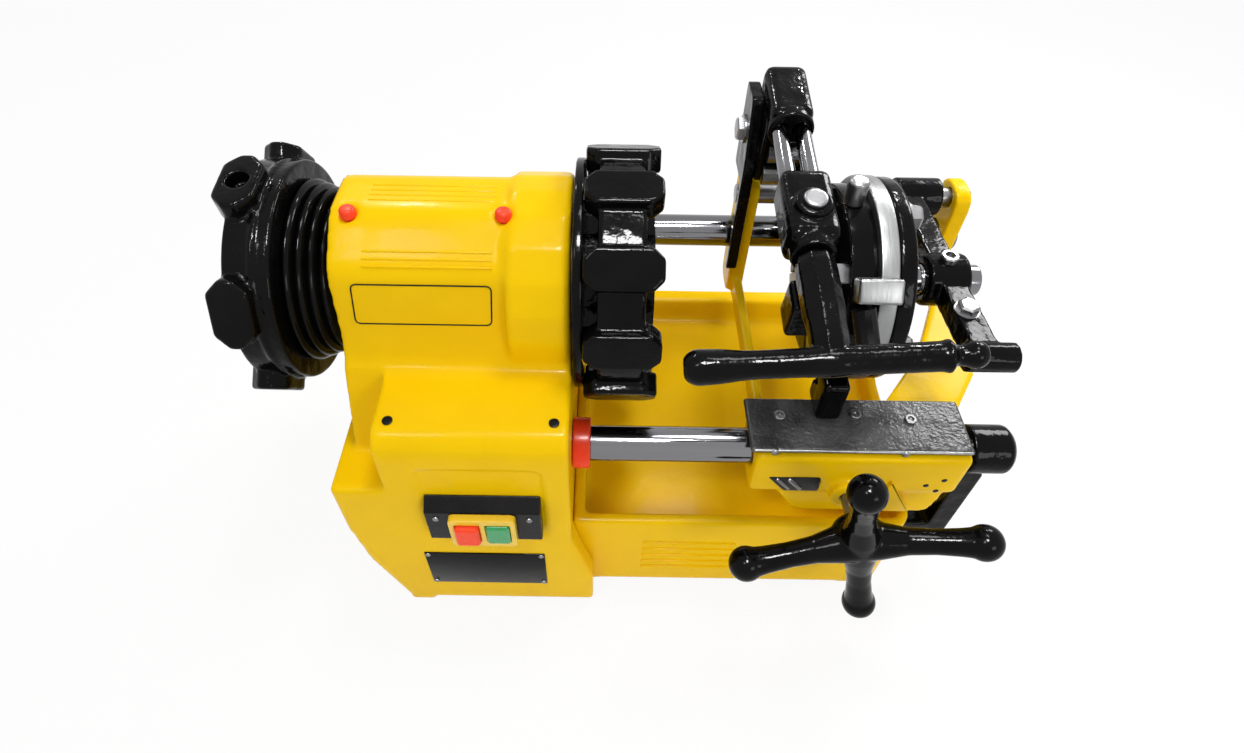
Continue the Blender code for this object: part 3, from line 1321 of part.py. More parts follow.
put(
    "die_head_cover",
    ring(COVER_LEFT, COVER_LEFT + COVER_LENGTH, DIE_BORE_RADIUS, DIE_COVER_RADIUS, chamfer=0.002),
    "black_enamel",
    SHAFT_CENTRE,
)

# Reamer: arm swinging on the rear shaft, bar and bladed cone on the spindle line
arm_x0, arm_x1 = REAMER_ARM_LEFT, REAMER_ARM_LEFT + REAMER_ARM_WIDTH
reamer_front = REAR_RAIL_Y - REAMER_REACH
arm_side = [
    (REAR_RAIL_Y, TOOL_SHAFT_Z - 0.0085),
    (0.0, -0.0088),
    (reamer_front, REAMER_RISE - 0.0080),
    (reamer_front, REAMER_RISE + 0.0080),
    (0.0, 0.0088),
    (REAR_RAIL_Y, TOOL_SHAFT_Z + 0.0085),
]
reamer_arm = union(
    prism(arm_side, 0, arm_x0 + 0.0012, arm_x1 - 0.0012),
    ring(arm_x0 - 0.008, arm_x1 + 0.002, 0.0, REAMER_HUB_RADIUS, chamfer=0.002),
    ring(arm_x0, arm_x1 + REAMER_BOSS_LENGTH, 0.0, DIE_BOSS_RADIUS - 0.001, 0, SHAFT_CENTRE, 20),
    rod((arm_x0 - 0.002, reamer_front, REAMER_RISE), (arm_x1 + 0.010, reamer_front, REAMER_RISE), REAMER_GRIP_RADIUS),
)
reamer_arm = cut(
    reamer_arm,
    ring(0.2, 0.32, 0.0, TOOL_SHAFT_RADIUS + RUN_GAP, 0, SHAFT_CENTRE, 16),
    ring(0.2, 0.32, 0.0, REAMER_BAR_RADIUS + RUN_GAP, 0, (0, 0, 0), 16),
)
put("reamer_arm", reamer_arm, "black_enamel", SHAFT_CENTRE)
put(
    "reamer_bar",
    ring(REAMER_BAR_LEFT, REAMER_BAR_RIGHT, 0.0, REAMER_BAR_RADIUS, 0, (0, 0, 0), 16, 0.001),
    "chrome",
)
cone_right = REAMER_BAR_LEFT - SEAT_GAP
cone = turned(
    [
        (REAMER_CONE_LEFT, 0.0),
        (REAMER_CONE_LEFT, 0.006),
        (cone_right, REAMER_CONE_RADIUS * 0.72),
        (cone_right, 0.0),
    ],
    steps=20,
)
for i in range(REAMER_BLADES):
    blade = prism(
        [
            (REAMER_CONE_LEFT + 0.001, 0.002),
            (REAMER_CONE_LEFT + 0.001, 0.009),
            (cone_right - 0.001, REAMER_CONE_RADIUS),
            (cone_right - 0.001, 0.002),
        ],
        1,
        -0.0015,
        0.0015,
    )
    cone = union(cone, moved(blade, about_x(2 * math.pi * i / REAMER_BLADES + 0.3)))
put("reamer_cone", cone, "steel")

# Switch with its two push buttons, set on the front of the housing
switch_y = HOUSING_FRONT + PANEL_DEPTH - SEAT_GAP
switch = prism(
    [
        (switch_y, SWITCH_Z - SWITCH_HEIGHT / 2),
        (switch_y - SWITCH_DEPTH, SWITCH_Z - SWITCH_HEIGHT / 2 + 0.002),
        (switch_y - SWITCH_DEPTH, SWITCH_Z + SWITCH_HEIGHT / 2 - 0.008),
        (switch_y, SWITCH_Z + SWITCH_HEIGHT / 2),
    ],
    0,
    SWITCH_X - SWITCH_WIDTH / 2,
    SWITCH_X + SWITCH_WIDTH / 2,
)
bezel_z = SWITCH_Z - SWITCH_HEIGHT / 2 + 0.004 + BEZEL_HEIGHT / 2
BUTTONS = (("off_button", -0.0105, "red_plastic", 0.002), ("on_button", 0.0105, "green_plastic", 0.0))
bezel_front = switch_y - SWITCH_DEPTH - SEAT_GAP
bezel = block(
    SWITCH_X - BEZEL_WIDTH / 2,
    SWITCH_X + BEZEL_WIDTH / 2,
    bezel_front - BEZEL_DEPTH,
    bezel_front,
    bezel_z - BEZEL_HEIGHT / 2,
    bezel_z + BEZEL_HEIGHT / 2,
    0.003,
    1,
)
for name, shift, slot, proud in BUTTONS:
    x0, x1 = SWITCH_X + shift - BUTTON_WIDTH / 2, SWITCH_X + shift + BUTTON_WIDTH / 2
    z0, z1 = bezel_z - BUTTON_HEIGHT / 2, bezel_z + BUTTON_HEIGHT / 2
    back = bezel_front + 0.004
    front = back - BUTTON_DEPTH - proud - BUTTON_TRAVEL
    hole = block(x0 - RUN_GAP, x1 + RUN_GAP, bezel_front - 0.05, bezel_front + 0.01, z0 - RUN_GAP, z1 + RUN_GAP)
    bezel = cut(bezel, hole)
    well = block(
        x0 - RUN_GAP,
        x1 + RUN_GAP,
        bezel_front - 0.05,
        back + BUTTON_TRAVEL + RUN_GAP,
        z0 - RUN_GAP,
        z1 + RUN_GAP,
    )
    switch = cut(switch, well)
    put(name, block(x0, x1, front, back, z0, z1, 0.0015, None, 1), slot, (SWITCH_X + shift, back, bezel_z))
put("switch_plate", switch, "black_plastic")
put("switch_bezel", bezel, "yellow_plastic")

# Oil caps in the top of the housing
cap_base = OIL_SEAT + SEAT_GAP
for name, cap_x in OIL_CAPS:
    put(
        name,
        turned(
            [
                (cap_base - 0.006, 0.0),
                (cap_base - 0.006, OIL_CAP_RADIUS * 0.6),
                (cap_base, OIL_CAP_RADIUS * 0.6),
                (cap_base, OIL_CAP_RADIUS),
                (cap_base + OIL_CAP_HEIGHT - 0.002, OIL_CAP_RADIUS),
                (cap_base + OIL_CAP_HEIGHT, OIL_CAP_RADIUS - 0.002),
                (cap_base + OIL_CAP_HEIGHT, 0.0),
            ],
            2,
            (cap_x, OIL_CAP_Y, 0.0),
            SMALL_ROUND,
        ),
        "red_plastic",
    )

# The frame's origin goes under the middle of the whole machine, at floor level
corners = [
    piece.matrix_basis @ Vector(corner) for piece in bpy.context.scene.objects for corner in piece.bound_box
]
middle_x = (min(c.x for c in corners) + max(c.x for c in corners)) / 2
middle_y = (min(c.y for c in corners) + max(c.y for c in corners)) / 2
for piece in bpy.context.scene.objects:
    piece.location += Vector((-middle_x, -middle_y, SPINDLE_HEIGHT))
print("origin shift", round(-middle_x, 6), round(-middle_y, 6), SPINDLE_HEIGHT)
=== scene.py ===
"""Looks of a bench pipe threading machine, laid out as a Blender add-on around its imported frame."""

import json
import math

import bmesh
import bpy
import numpy as np
from mathutils import Matrix, Vector


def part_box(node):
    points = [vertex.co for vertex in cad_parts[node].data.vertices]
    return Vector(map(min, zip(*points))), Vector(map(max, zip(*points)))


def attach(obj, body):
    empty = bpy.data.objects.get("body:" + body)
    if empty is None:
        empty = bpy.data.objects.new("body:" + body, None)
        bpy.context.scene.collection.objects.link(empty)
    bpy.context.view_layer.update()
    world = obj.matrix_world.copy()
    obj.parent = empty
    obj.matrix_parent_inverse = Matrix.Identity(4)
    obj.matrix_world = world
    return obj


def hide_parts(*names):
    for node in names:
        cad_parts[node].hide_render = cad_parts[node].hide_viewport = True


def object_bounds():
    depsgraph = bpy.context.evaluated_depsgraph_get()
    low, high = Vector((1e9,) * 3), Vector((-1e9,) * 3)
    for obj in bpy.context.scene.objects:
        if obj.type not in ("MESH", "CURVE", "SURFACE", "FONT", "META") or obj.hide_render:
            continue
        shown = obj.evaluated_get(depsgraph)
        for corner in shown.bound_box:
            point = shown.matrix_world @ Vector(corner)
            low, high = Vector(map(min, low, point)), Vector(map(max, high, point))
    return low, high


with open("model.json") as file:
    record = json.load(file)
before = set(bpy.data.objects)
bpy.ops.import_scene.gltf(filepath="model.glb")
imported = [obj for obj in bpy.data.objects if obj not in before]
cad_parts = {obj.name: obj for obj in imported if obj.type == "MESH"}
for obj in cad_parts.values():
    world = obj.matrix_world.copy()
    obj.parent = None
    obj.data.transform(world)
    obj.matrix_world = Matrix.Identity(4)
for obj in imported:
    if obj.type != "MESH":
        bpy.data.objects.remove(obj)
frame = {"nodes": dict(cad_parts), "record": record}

CAD_BOX = [list(corner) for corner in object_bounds()]

bl_info = {
    "name": "Pipe threading machine",
    "version": (1, 0, 0),
    "blender": (4, 5, 0),
    "location": "3D View > Sidebar > Threader",
    "description": "Dresses the packed frame of a pipe threading machine",
    "category": "Add Mesh",
}

# Places below are metres from a point on the spindle axis: X along it, Y to the rear, Z up
BEARING = [np.array(corner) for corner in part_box("bearing_front")]
BEARING_TO_POINT = 0.021
ORIGIN = np.array((BEARING[1][0] + BEARING_TO_POINT, *((BEARING[0] + BEARING[1]) / 2)[1:]))
POINT, RIGHT, LEFT = (0, 0, 0), (1, 0, 0), (-1, 0, 0)
REAR, FRONT, UP = (0, 1, 0), (0, -1, 0), (0, 0, 1)

FACET_ANGLE = math.radians(32)
LONGEST_ARC = 0.48  # share of the shorter side that a corner's arc may take
ROUNDEST_BOX = 0.98  # share of the least half side that a round edge may take
SAME_POINT, EMPTY_FACE, WELD = 2e-6, 1e-7, 1e-6
PROUD = 0.0002  # how far a laid-on detail stands off what carries it


# Surfaces as arrays: each function returns (points, faces) of a closed surface

def fillet(corners, radius, steps=6):
    """Outline with each corner replaced by a quadratic arc that starts one radius before it."""
    corners = np.asarray(corners, float)
    radius = np.broadcast_to(np.asarray(radius, float), len(corners))
    before, after = np.roll(corners, 1, 0) - corners, np.roll(corners, -1, 0) - corners
    long_before, long_after = np.linalg.norm(before, axis=1), np.linalg.norm(after, axis=1)
    reach = np.minimum(radius, LONGEST_ARC * np.minimum(long_before, long_after))[:, None]
    start = corners + before / long_before[:, None] * reach
    end = corners + after / long_after[:, None] * reach
    share = np.linspace(0, 1, steps + 1)[None, :, None]
    bend = corners[:, None] * 2 * share * (1 - share)
    arcs = start[:, None] * (1 - share) ** 2 + bend + end[:, None] * share**2
    return arcs.reshape(-1, corners.shape[1])


def quads(here, above, count):
    """Quads between rings of points, given where each ring starts and where the ring above it starts."""
    step = np.arange(count)
    following, here, above = (step + 1) % count, here[:, None], above[:, None]
    corners = np.stack([here + step, here + following, above + following, above + step], -1)
    return [tuple(quad) for quad in corners.reshape(-1, 4).tolist()]


def ring_faces(rings, count):
    """Quads between neighbouring rings of a closed stack, and one face over each end."""
    starts = np.arange(rings - 1) * count
    ends = [tuple(range(count - 1, -1, -1)), tuple(range((rings - 1) * count, rings * count))]
    return quads(starts, starts + count, count) + ends


def drawn(outline, axis, low, high, bevel, steps=4):
    """Outline drawn along an axis; near each end it shrinks along its own normal by a quarter circle."""
    outline = np.asarray(outline, float)
    ahead, behind = np.roll(outline, -1, 0), np.roll(outline, 1, 0)
    area = np.sum(outline[:, 0] * ahead[:, 1] - ahead[:, 0] * outline[:, 1])
    tangent = ahead - behind
    normal = np.stack([-tangent[:, 1], tangent[:, 0]], 1) * np.sign(area)
    normal /= np.maximum(np.linalg.norm(normal, axis=1), 1e-9)[:, None]
    turn = np.linspace(0, math.pi / 2, steps + 1)
    shrink, rise = bevel * (1 - np.sin(turn)), bevel * (1 - np.cos(turn))
    inward = np.concatenate([shrink, shrink[::-1]])
    level = np.concatenate([low + rise, high - rise[::-1]])
    flat = outline[None] + normal[None] * inward[:, None, None]
    points = np.zeros((len(level), len(outline), 3))
    others = [i for i in range(3) if i != axis]
    points[:, :, axis] = level[:, None]
    points[:, :, others[0]], points[:, :, others[1]] = flat[:, :, 0], flat[:, :, 1]
    return points.reshape(-1, 3), ring_faces(len(level), len(outline))


def lathe(profile, start, way, turns, form=None):
    """Profile of (along, radius) turned about a line: start + along*way + radius*form(t)*(cos t, sin t)."""
    profile = np.asarray(profile, float)
    way = np.asarray(way, float) / np.linalg.norm(way)
    aside = np.array((0.0, 0.0, 1.0)) if abs(way[2]) < 0.9 else np.array((0.0, 1.0, 0.0))
    right = np.cross(aside, way)
    right /= np.linalg.norm(right)
    over = np.cross(way, right)
    angle = np.linspace(0, 2 * math.pi, turns, endpoint=False)
    size = np.ones(turns) if form is None else form(angle)
    spoke = (np.cos(angle)[:, None] * right + np.sin(angle)[:, None] * over) * size[:, None]
    points = np.asarray(start, float) + profile[:, 0].reshape(-1, 1, 1) * way
    points = points + profile[:, 1].reshape(-1, 1, 1) * spoke[None]
    return points.reshape(-1, 3), ring_faces(len(profile), turns)


def hexagon(angle):
    """Radius factor of a six-sided head: one over the cosine of the angle from the nearest flat."""
    return 1 / np.cos((angle + math.pi / 6) % (math.pi / 3) - math.pi / 6)


def octagon(angle):
    """Radius factor of an eight-sided bar, a little under the same rule for eight flats."""
    return 0.965 / np.cos((angle + math.pi / 8) % (math.pi / 4) - math.pi / 8)


def rounded_profile(points, radius, steps=4):
    """Open profile whose inner corners are quadratic arcs; its two ends stay."""
    points = np.asarray(points, float)
    arcs = fillet(points, radius, steps).reshape(len(points), steps + 1, 2)
    return np.concatenate([points[:1], arcs[1:-1].reshape(-1, 2), points[-1:]])


def tabled(rows):
    """Rounded profile from rows of (along, radius, reach of the arc at that corner)."""
    rows = np.asarray(rows, float)
    return rounded_profile(rows[:, :2], rows[:, 2])


def rod(start, way, low, high, radius, edge, turns):
    """Solid bar along a direction, between two distances from a point, its edges rounded off."""
    profile = rounded_profile([(low, 0.0), (low, radius), (high, radius), (high, 0.0)], edge)
    return lathe(profile, start, way, turns)


def capsule(start, end, radius, turns, cap):
    """Bar with hemispherical ends."""
    start, end = np.asarray(start, float), np.asarray(end, float)
    length = np.linalg.norm(end - start)
    turn = np.linspace(0, math.pi / 2, cap)
    first = np.stack([radius * (1 - np.cos(turn)), radius * np.sin(turn)], 1)
    last = np.stack([length - radius * (1 - np.cos(turn[::-1])), radius * np.sin(turn[::-1])], 1)
    return lathe(np.concatenate([first, last]), start, end - start, turns)


def beads(left, right, places, radius, turns, cap):
    """Capsules along X, one at each (y, z)."""
    return joined(*[capsule((left, *place), (right, *place), radius, turns, cap) for place in places])


def pebble(centre, size, radius, steps=5):
    """Box with round edges: corner + radius*n for each direction n of a sphere, flat between octants."""
    half = np.asarray(size, float) / 2
    radius = min(radius, half.min() * ROUNDEST_BOX)
    quarter = np.linspace(0, math.pi / 2, steps)
    lift = np.concatenate([quarter - math.pi / 2, quarter])
    turn = np.concatenate([quarter + math.pi / 2 * i for i in range(4)])
    level, around = np.ones_like(lift), np.ones_like(turn)
    normal = [
        np.outer(np.cos(lift), np.cos(turn)),
        np.outer(np.cos(lift), np.sin(turn)),
        np.outer(np.sin(lift), around),
    ]
    corner = [
        np.outer(level, np.repeat((1.0, -1.0, -1.0, 1.0), steps)),
        np.outer(level, np.repeat((1.0, 1.0, -1.0, -1.0), steps)),
        np.outer(np.repeat((-1.0, 1.0), steps), around),
    ]
    points = np.asarray(centre, float) + np.stack(corner, -1) * (half - radius)
    points = points + np.stack(normal, -1) * radius
    return points.reshape(-1, 3), ring_faces(len(lift), len(turn))


def hoop(path, radius, turns=10):
    """Round bead of one radius along a closed path; its frame leans on the path's own mean plane."""
    path = np.asarray(path, float)
    way = np.roll(path, -1, 0) - np.roll(path, 1, 0)
    way /= np.linalg.norm(way, axis=1)[:, None]
    plane = np.linalg.svd(path - path.mean(0))[2][2]
    side = np.cross(way, plane)
    angle = np.linspace(0, 2 * math.pi, turns, endpoint=False)[None, :, None]
    points = path[:, None] + radius * (np.cos(angle) * side[:, None] + np.sin(angle) * plane[None, None])
    starts = np.arange(len(path)) * turns
    return points.reshape(-1, 3), quads(starts, np.roll(starts, -1), turns)


def joined(*solids):
    """Several closed surfaces in one list of points and faces."""
    points, faces, shift = [], [], 0
    for some_points, some_faces in solids:
        points.append(some_points)
        faces += [tuple(i + shift for i in face) for face in some_faces]
        shift += len(some_points)
    return np.concatenate(points), faces


def turned_about(solid, angle):
    """Solid turned about the spindle axis; a positive angle brings the top to the front."""
    points, faces = solid
    points = points.copy()
    cosine, sine = math.cos(angle), math.sin(angle)
    first, second = points[:, 1].copy(), points[:, 2].copy()
    points[:, 1], points[:, 2] = first * cosine - second * sine, first * sine + second * cosine
    return points, faces


def spread(solid, count, first):
    """Copies of a solid at equal angles about the spindle axis; first is in degrees."""
    return [turned_about(solid, math.radians(360 / count * i + first)) for i in range(count)]


def placed(solid, matrix):
    """Solid moved by a 4x4 matrix."""
    points, faces = solid
    turn = np.array(matrix)
    return points @ turn[:3, :3].T + turn[:3, 3], faces


def collar(left, right, inner, outer, edge, centre=(0, 0), turns=96):
    """Ring along X whose four corners are rounded."""
    profile = fillet([(left, inner), (left, outer), (right, outer), (right, inner)], edge, 4)
    points, faces = lathe(np.concatenate([profile, profile[:1]]), (0, *centre), RIGHT, turns)
    return points, faces[:-2]


def bolt(place, way, flat, head, turns=36):
    """Six-sided head with a washer face and a chamfered crown, standing on a point."""
    washer, sunk = flat * 0.10, flat * 0.08
    disc = [(0.0, 0.0), (0.0, flat * 0.66), (washer, flat * 0.66), (washer, 0.0)]
    crown = [(sunk, 0.0), (sunk, flat / 2), (head * 0.82, flat / 2), (head, flat * 0.40), (head, 0.0)]
    return joined(lathe(disc, place, way, turns), lathe(crown, place, way, turns, hexagon))


def socket_screw(place, way, radius, head, turns=30):
    """Round head with a chamfered rim and a round socket sunk in it."""
    rim = [(0.0, 0.0), (0.0, radius), (head * 0.8, radius), (head, radius * 0.88), (head, radius * 0.56)]
    socket = [(head * 0.3, radius * 0.50), (head * 0.3, 0.0)]
    return lathe(rim + socket, place, way, turns)


def dome(place, way, radius, height, turns=24):
    """Low rivet head: a quarter ellipse turned about its axis."""
    foot = -height * 0.4
    crown = [(height * math.sin(t), radius * math.cos(t)) for t in np.linspace(0, math.pi / 2, 6)]
    return lathe([(foot, 0.0), (foot, radius)] + crown, place, way, turns)


def several(form, places, way, **sizes):
    """The same screw or rivet head on each of several points."""
    return joined(*[form(place, way, **sizes) for place in places])


def hand_lobe(left, right, foot, reach, width, corner, edge):
    """Eight-sided lobe standing along Z, its corners and its rim rounded."""
    half = width / 2
    outline = [
        (left + corner, -half), (right - corner, -half), (right, corner - half), (right, half - corner),
        (right - corner, half), (left + corner, half), (left, half - corner), (left, corner - half),
    ]
    return drawn(fillet(outline, edge), 2, foot, reach, edge)


# Pieces: mesh objects in the frame, each on a body

def raw_object(name, solid):
    """Mesh object of a solid, in the frame's own place, with doubles merged and faces outwards."""
    points, faces = solid
    mesh = bpy.data.meshes.new(name)
    mesh.from_pydata((points + ORIGIN).tolist(), [], faces)
    work = bmesh.new()
    work.from_mesh(mesh)
    bmesh.ops.remove_doubles(work, verts=work.verts, dist=SAME_POINT)
    bmesh.ops.dissolve_degenerate(work, edges=work.edges, dist=EMPTY_FACE)
    bmesh.ops.recalc_face_normals(work, faces=work.faces)
    work.to_mesh(mesh)
    work.free()
    piece = bpy.data.objects.new(name, mesh)
    bpy.context.scene.collection.objects.link(piece)
    return piece


def cut(first, second):
    """First solid less the second by the exact Boolean solver, as points and faces again."""
    pair = [raw_object("working", first), raw_object("working", second)]
    step = pair[0].modifiers.new("combine", "BOOLEAN")
    step.operation, step.solver, step.object = "DIFFERENCE", "EXACT", pair[1]
    result = pair[0].evaluated_get(bpy.context.evaluated_depsgraph_get()).to_mesh()
    points = np.zeros(len(result.vertices) * 3)
    result.vertices.foreach_get("co", points)
    faces = [tuple(face.vertices) for face in result.polygons]
    for piece in pair:
        mesh = piece.data
        bpy.data.objects.remove(piece)
        bpy.data.meshes.remove(mesh)
    return points.reshape(-1, 3) - ORIGIN, faces


def cast(piece, voxel, rounds):
    """Melts a piece's edges as a cast surface has them: voxel remesh, then smoothing."""
    weld = piece.modifiers.new("weld", "WELD")
    weld.merge_threshold = WELD
    remesh = piece.modifiers.new("cast", "REMESH")
    remesh.mode, remesh.voxel_size, remesh.use_smooth_shade = "VOXEL", voxel, True
    soften = piece.modifiers.new("soften", "SMOOTH")
    soften.factor, soften.iterations = 0.5, rounds


def dressed(name, solid, slot, body, replaces=(), melt=None, look=None):
    """Finished piece: its mesh, its finish (from look, or else from slot), its body and the CAD nodes it stands
    for.
    """
    piece = raw_object(name, solid)
    piece.data.shade_smooth()
    piece.data.set_sharp_from_angle(angle=FACET_ANGLE)
    piece.data.materials.append(FINISHES[look or slot])
    if melt:
        cast(piece, *melt)
    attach(piece, body)
    if replaces:
        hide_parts(*replaces)
    return piece


def span(node):
    """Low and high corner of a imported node, from the spindle point."""
    low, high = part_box(node)
    return np.array(low) - ORIGIN, np.array(high) - ORIGIN


def round_bar(node, edge, turns):
    """Solid bar along X in the place of a packed bar, its ends rounded off."""
    low, high = span(node)
    return rod((0, *(low + high)[1:] / 2), RIGHT, low[0], high[0], (high[2] - low[2]) / 2, edge, turns)


def mushroom(node, neck, neck_height, crown, under, over, turns):
    """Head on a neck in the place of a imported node: neck and crown as shares of its radius, then two arcs."""
    low, high = span(node)
    radius, height = (high[0] - low[0]) / 2, high[2] - low[2]
    profile = tabled([
        (0.0, 0.0, 0),
        (0.0, radius * neck, 0),
        (neck_height, radius * neck, 0),
        (neck_height, radius, under),
        (height, radius * crown, over),
        (height, 0.0, 0),
    ])
    return lathe(profile, (*(low + high)[:2] / 2, low[2]), UP, turns)


# Finishes: one node tree each, on Object coordinates

FINISHES = {}
MOTTLE_SCALE, MOTTLE_RANGE, WEAR_SCALE, COAT_ROUGHNESS = 28, (0.42, 0.75), 90, 0.06


def wired(tree, node, inputs):
    """Node, or a new one of the kind named, with each input set to a value or linked to an output."""
    node = tree.nodes.new(node) if isinstance(node, str) else node
    for name, value in inputs.items():
        if isinstance(value, bpy.types.NodeSocket):
            tree.links.new(value, node.inputs[name])
        else:
            node.inputs[name].default_value = value
    return node


def finish(
    name, colour, shade, rough, metallic=0.0, coat=0.0, specular=0.5,
    stretch=(1, 1, 1), grain=(260, 0.00012), lumps=None,
):
    """Mottle between two colours, roughness between two values, fine grain, and cast lumps where asked.

    grain and lumps are (noise scale, height in metres)."""
    material = bpy.data.materials.new(name)
    material.use_nodes = True
    tree = material.node_tree
    place = tree.nodes.new("ShaderNodeTexCoord").outputs["Object"]
    mapping = wired(tree, "ShaderNodeMapping", {"Vector": place, "Scale": stretch})

    def noise(scale, detail):
        inputs = {"Vector": mapping.outputs["Vector"], "Scale": scale, "Detail": detail}
        return wired(tree, "ShaderNodeTexNoise", inputs).outputs["Fac"]

    def ranged(source, bounds, values):
        inputs = {"Value": source, **dict(zip(bounds, values))}
        return wired(tree, "ShaderNodeMapRange", inputs).outputs["Result"]

    def relief(scale, height, detail):
        return wired(tree, "ShaderNodeBump", {"Distance": height, "Height": noise(scale, detail)})

    mix = tree.nodes.new("ShaderNodeMix")
    mix.data_type = "RGBA"
    patch = ranged(noise(MOTTLE_SCALE, 6.0), ("From Min", "From Max"), MOTTLE_RANGE)
    wired(tree, mix, {"Factor": patch, "A": (*colour, 1.0), "B": (*shade, 1.0)})
    normal = relief(*grain, 2.0).outputs["Normal"]
    if lumps:
        normal = wired(tree, relief(*lumps, 3.0), {"Normal": normal}).outputs["Normal"]
    inputs = {
        "Base Color": mix.outputs["Result"],
        "Roughness": ranged(noise(WEAR_SCALE, 4.0), ("To Min", "To Max"), rough),
        "Metallic": metallic,
        "Specular IOR Level": specular,
        "Coat Weight": coat,
        "Coat Roughness": COAT_ROUGHNESS,
        "Normal": normal,
    }
    if coat:
        inputs["Coat Normal"] = normal
    wired(tree, tree.nodes["Principled BSDF"], inputs)
    return material


class ThreaderPaint(bpy.types.PropertyGroup):
    """Colours of the machine's finishes"""

    def colour(label, text, value):
        return bpy.props.FloatVectorProperty(
            name=label, description=text, subtype="COLOR", size=3, min=0.0, max=1.0, default=value
        )

    casting: colour("Casting", "Gloss enamel of the bed and carriage", (0.91, 0.570, 0.002))
    casting_shade: colour("Casting shade", "Darker mottle in the bed enamel", (0.88, 0.540, 0.002))
    enamel: colour("Black enamel", "Gloss black of chucks and handles", (0.0020, 0.0020, 0.0020))
    enamel_shade: colour("Enamel shade", "Greyer mottle in the black enamel", (0.0045, 0.0045, 0.0045))
    bright: colour("Bright plating", "Plated rails and rods", (0.22, 0.22, 0.23))
    ring: colour("Machined ring", "Machined light metal", (0.26, 0.262, 0.262))
    steel: colour("Steel", "Bare machined steel", (0.25, 0.25, 0.256))
    red: colour("Red", "Red plastic of caps, collar and button", (1.0, 0.072, 0.022))
    green: colour("Green", "Green plastic of the on button", (0.012, 0.34, 0.09))
    plastic: colour("Black plastic", "Switch box", (0.008, 0.008, 0.009))
    bezel: colour("Bezel", "Yellow plastic around the buttons", (0.90, 0.60, 0.02))


class ThreaderSizes(bpy.types.PropertyGroup):
    """Sizes of the dressed pieces"""

    def length(label, text, value):
        return bpy.props.FloatProperty(name=label, description=text, unit="LENGTH", min=0.0, default=value)

    hammer_reach: length("Hammer lobe reach", "Radius over the lobes of the front chuck wheel", 0.089)
    hammer_core: length("Hammer core", "Radius between the lobes of the front chuck wheel", 0.0825)
    rear_reach: length("Rear lobe reach", "Radius over the lobes of the rear chuck wheel", 0.086)
    rear_core: length("Rear core", "Radius between the lobes of the rear chuck wheel", 0.0765)
    star_reach: length("Star reach", "Radius of the feed wheel to the middle of its knobs", 0.079)
    star_knob: length("Star knob", "Radius of the feed wheel's knobs", 0.0125)
    bar_radius: length("Bar radius", "Radius of the cutter's cross bar", 0.0088)
    plate_width: length("Plate width", "Width of the bare data plate", 0.092)
    plate_height: length("Plate height", "Height of the bare data plate", 0.050)


# Packed castings whose edges are melted: node, voxel in metres, rounds of smoothing
MELTED = (
    ("headstock_housing", 0.0023, 3), ("base_casting", 0.0022, 5),
    ("carriage_casting", 0.0016, 5), ("carriage_cover", 0.0008, 2),
    ("cutter_bracket", 0.0010, 5), ("cutter_housing", 0.0010, 6),
    ("cutter_yoke", 0.0010, 6), ("cutter_slide", 0.0010, 4),
    ("reamer_arm", 0.0010, 6), ("rail_end_bracket", 0.0012, 5),
    ("die_head_body", 0.0012, 4), ("switch_plate", 0.0007, 4),
    ("switch_bezel", 0.0005, 4), ("on_button", 0.0004, 4),
    ("off_button", 0.0004, 4),
)


def mix_finishes(c):
    """Enamels, metals and plastics; stretch draws a metal's grain out along or around X."""
    black = {"colour": c.enamel, "shade": c.enamel_shade, "coat": 0.08, "specular": 0.05}
    moulded = {"coat": 0.2, "grain": (600, 0.00004)}
    FINISHES.update(
        yellow_paint=finish(
            "gloss_yellow_enamel", c.casting, c.casting_shade, (0.16, 0.30),
            coat=0.03, specular=0.04, grain=(340, 0.00005), lumps=(38, 0.0005),
        ),
        black_enamel=finish(
            "gloss_black_enamel", rough=(0.08, 0.22), grain=(300, 0.00006), lumps=(70, 0.0010), **black
        ),
        smooth_black=finish(
            "smooth_black_enamel", rough=(0.08, 0.20), grain=(420, 0.00004), lumps=(40, 0.0004), **black
        ),
        # Carriage cover: rough cast grain and lumps; its lighter grey mottle is partly painted sheen of the
        # cover's speckled reflections
        rough_cast=finish(
            "rough_black_casting_painted_sheen", (0.026, 0.026, 0.026), (0.130, 0.130, 0.130), (0.2, 0.42),
            specular=0.4, grain=(420, 0.0004), lumps=(160, 0.0010),
        ),
        chrome=finish(
            "bright_plating", c.bright, (0.15, 0.15, 0.155), (0.06, 0.16), 1.0,
            stretch=(0.08, 1, 1), grain=(700, 0.00003),
        ),
        aluminium=finish(
            "machined_ring_metal", c.ring, (0.19, 0.192, 0.192), (0.26, 0.44), 1.0,
            stretch=(8, 0.6, 0.6), grain=(160, 0.00006),
        ),
        steel=finish("bare_steel", c.steel, (0.18, 0.18, 0.185), (0.22, 0.40), 1.0, grain=(500, 0.00006)),
        red_plastic=finish(
            "red_plastic", c.red, (0.92, 0.05, 0.016), (0.22, 0.34),
            coat=0.05, specular=0.12, grain=moulded["grain"],
        ),
        green_plastic=finish("green_plastic", c.green, (0.01, 0.27, 0.07), (0.22, 0.34), **moulded),
        black_plastic=finish(
            "black_plastic", c.plastic, (0.013, 0.013, 0.014), (0.2, 0.34),
            specular=0.10, grain=(900, 0.00006),
        ),
        yellow_plastic=finish("yellow_plastic", c.bezel, (0.80, 0.50, 0.015), (0.26, 0.38), **moulded),
        bronze=finish("bearing_bronze", (0.50, 0.31, 0.12), (0.38, 0.22, 0.08), (0.28, 0.42), 1.0),
        motor_grey=finish(
            "grey_primer", (0.30, 0.31, 0.33), (0.24, 0.25, 0.27), (0.4, 0.55), lumps=(120, 0.0003)
        ),
    )


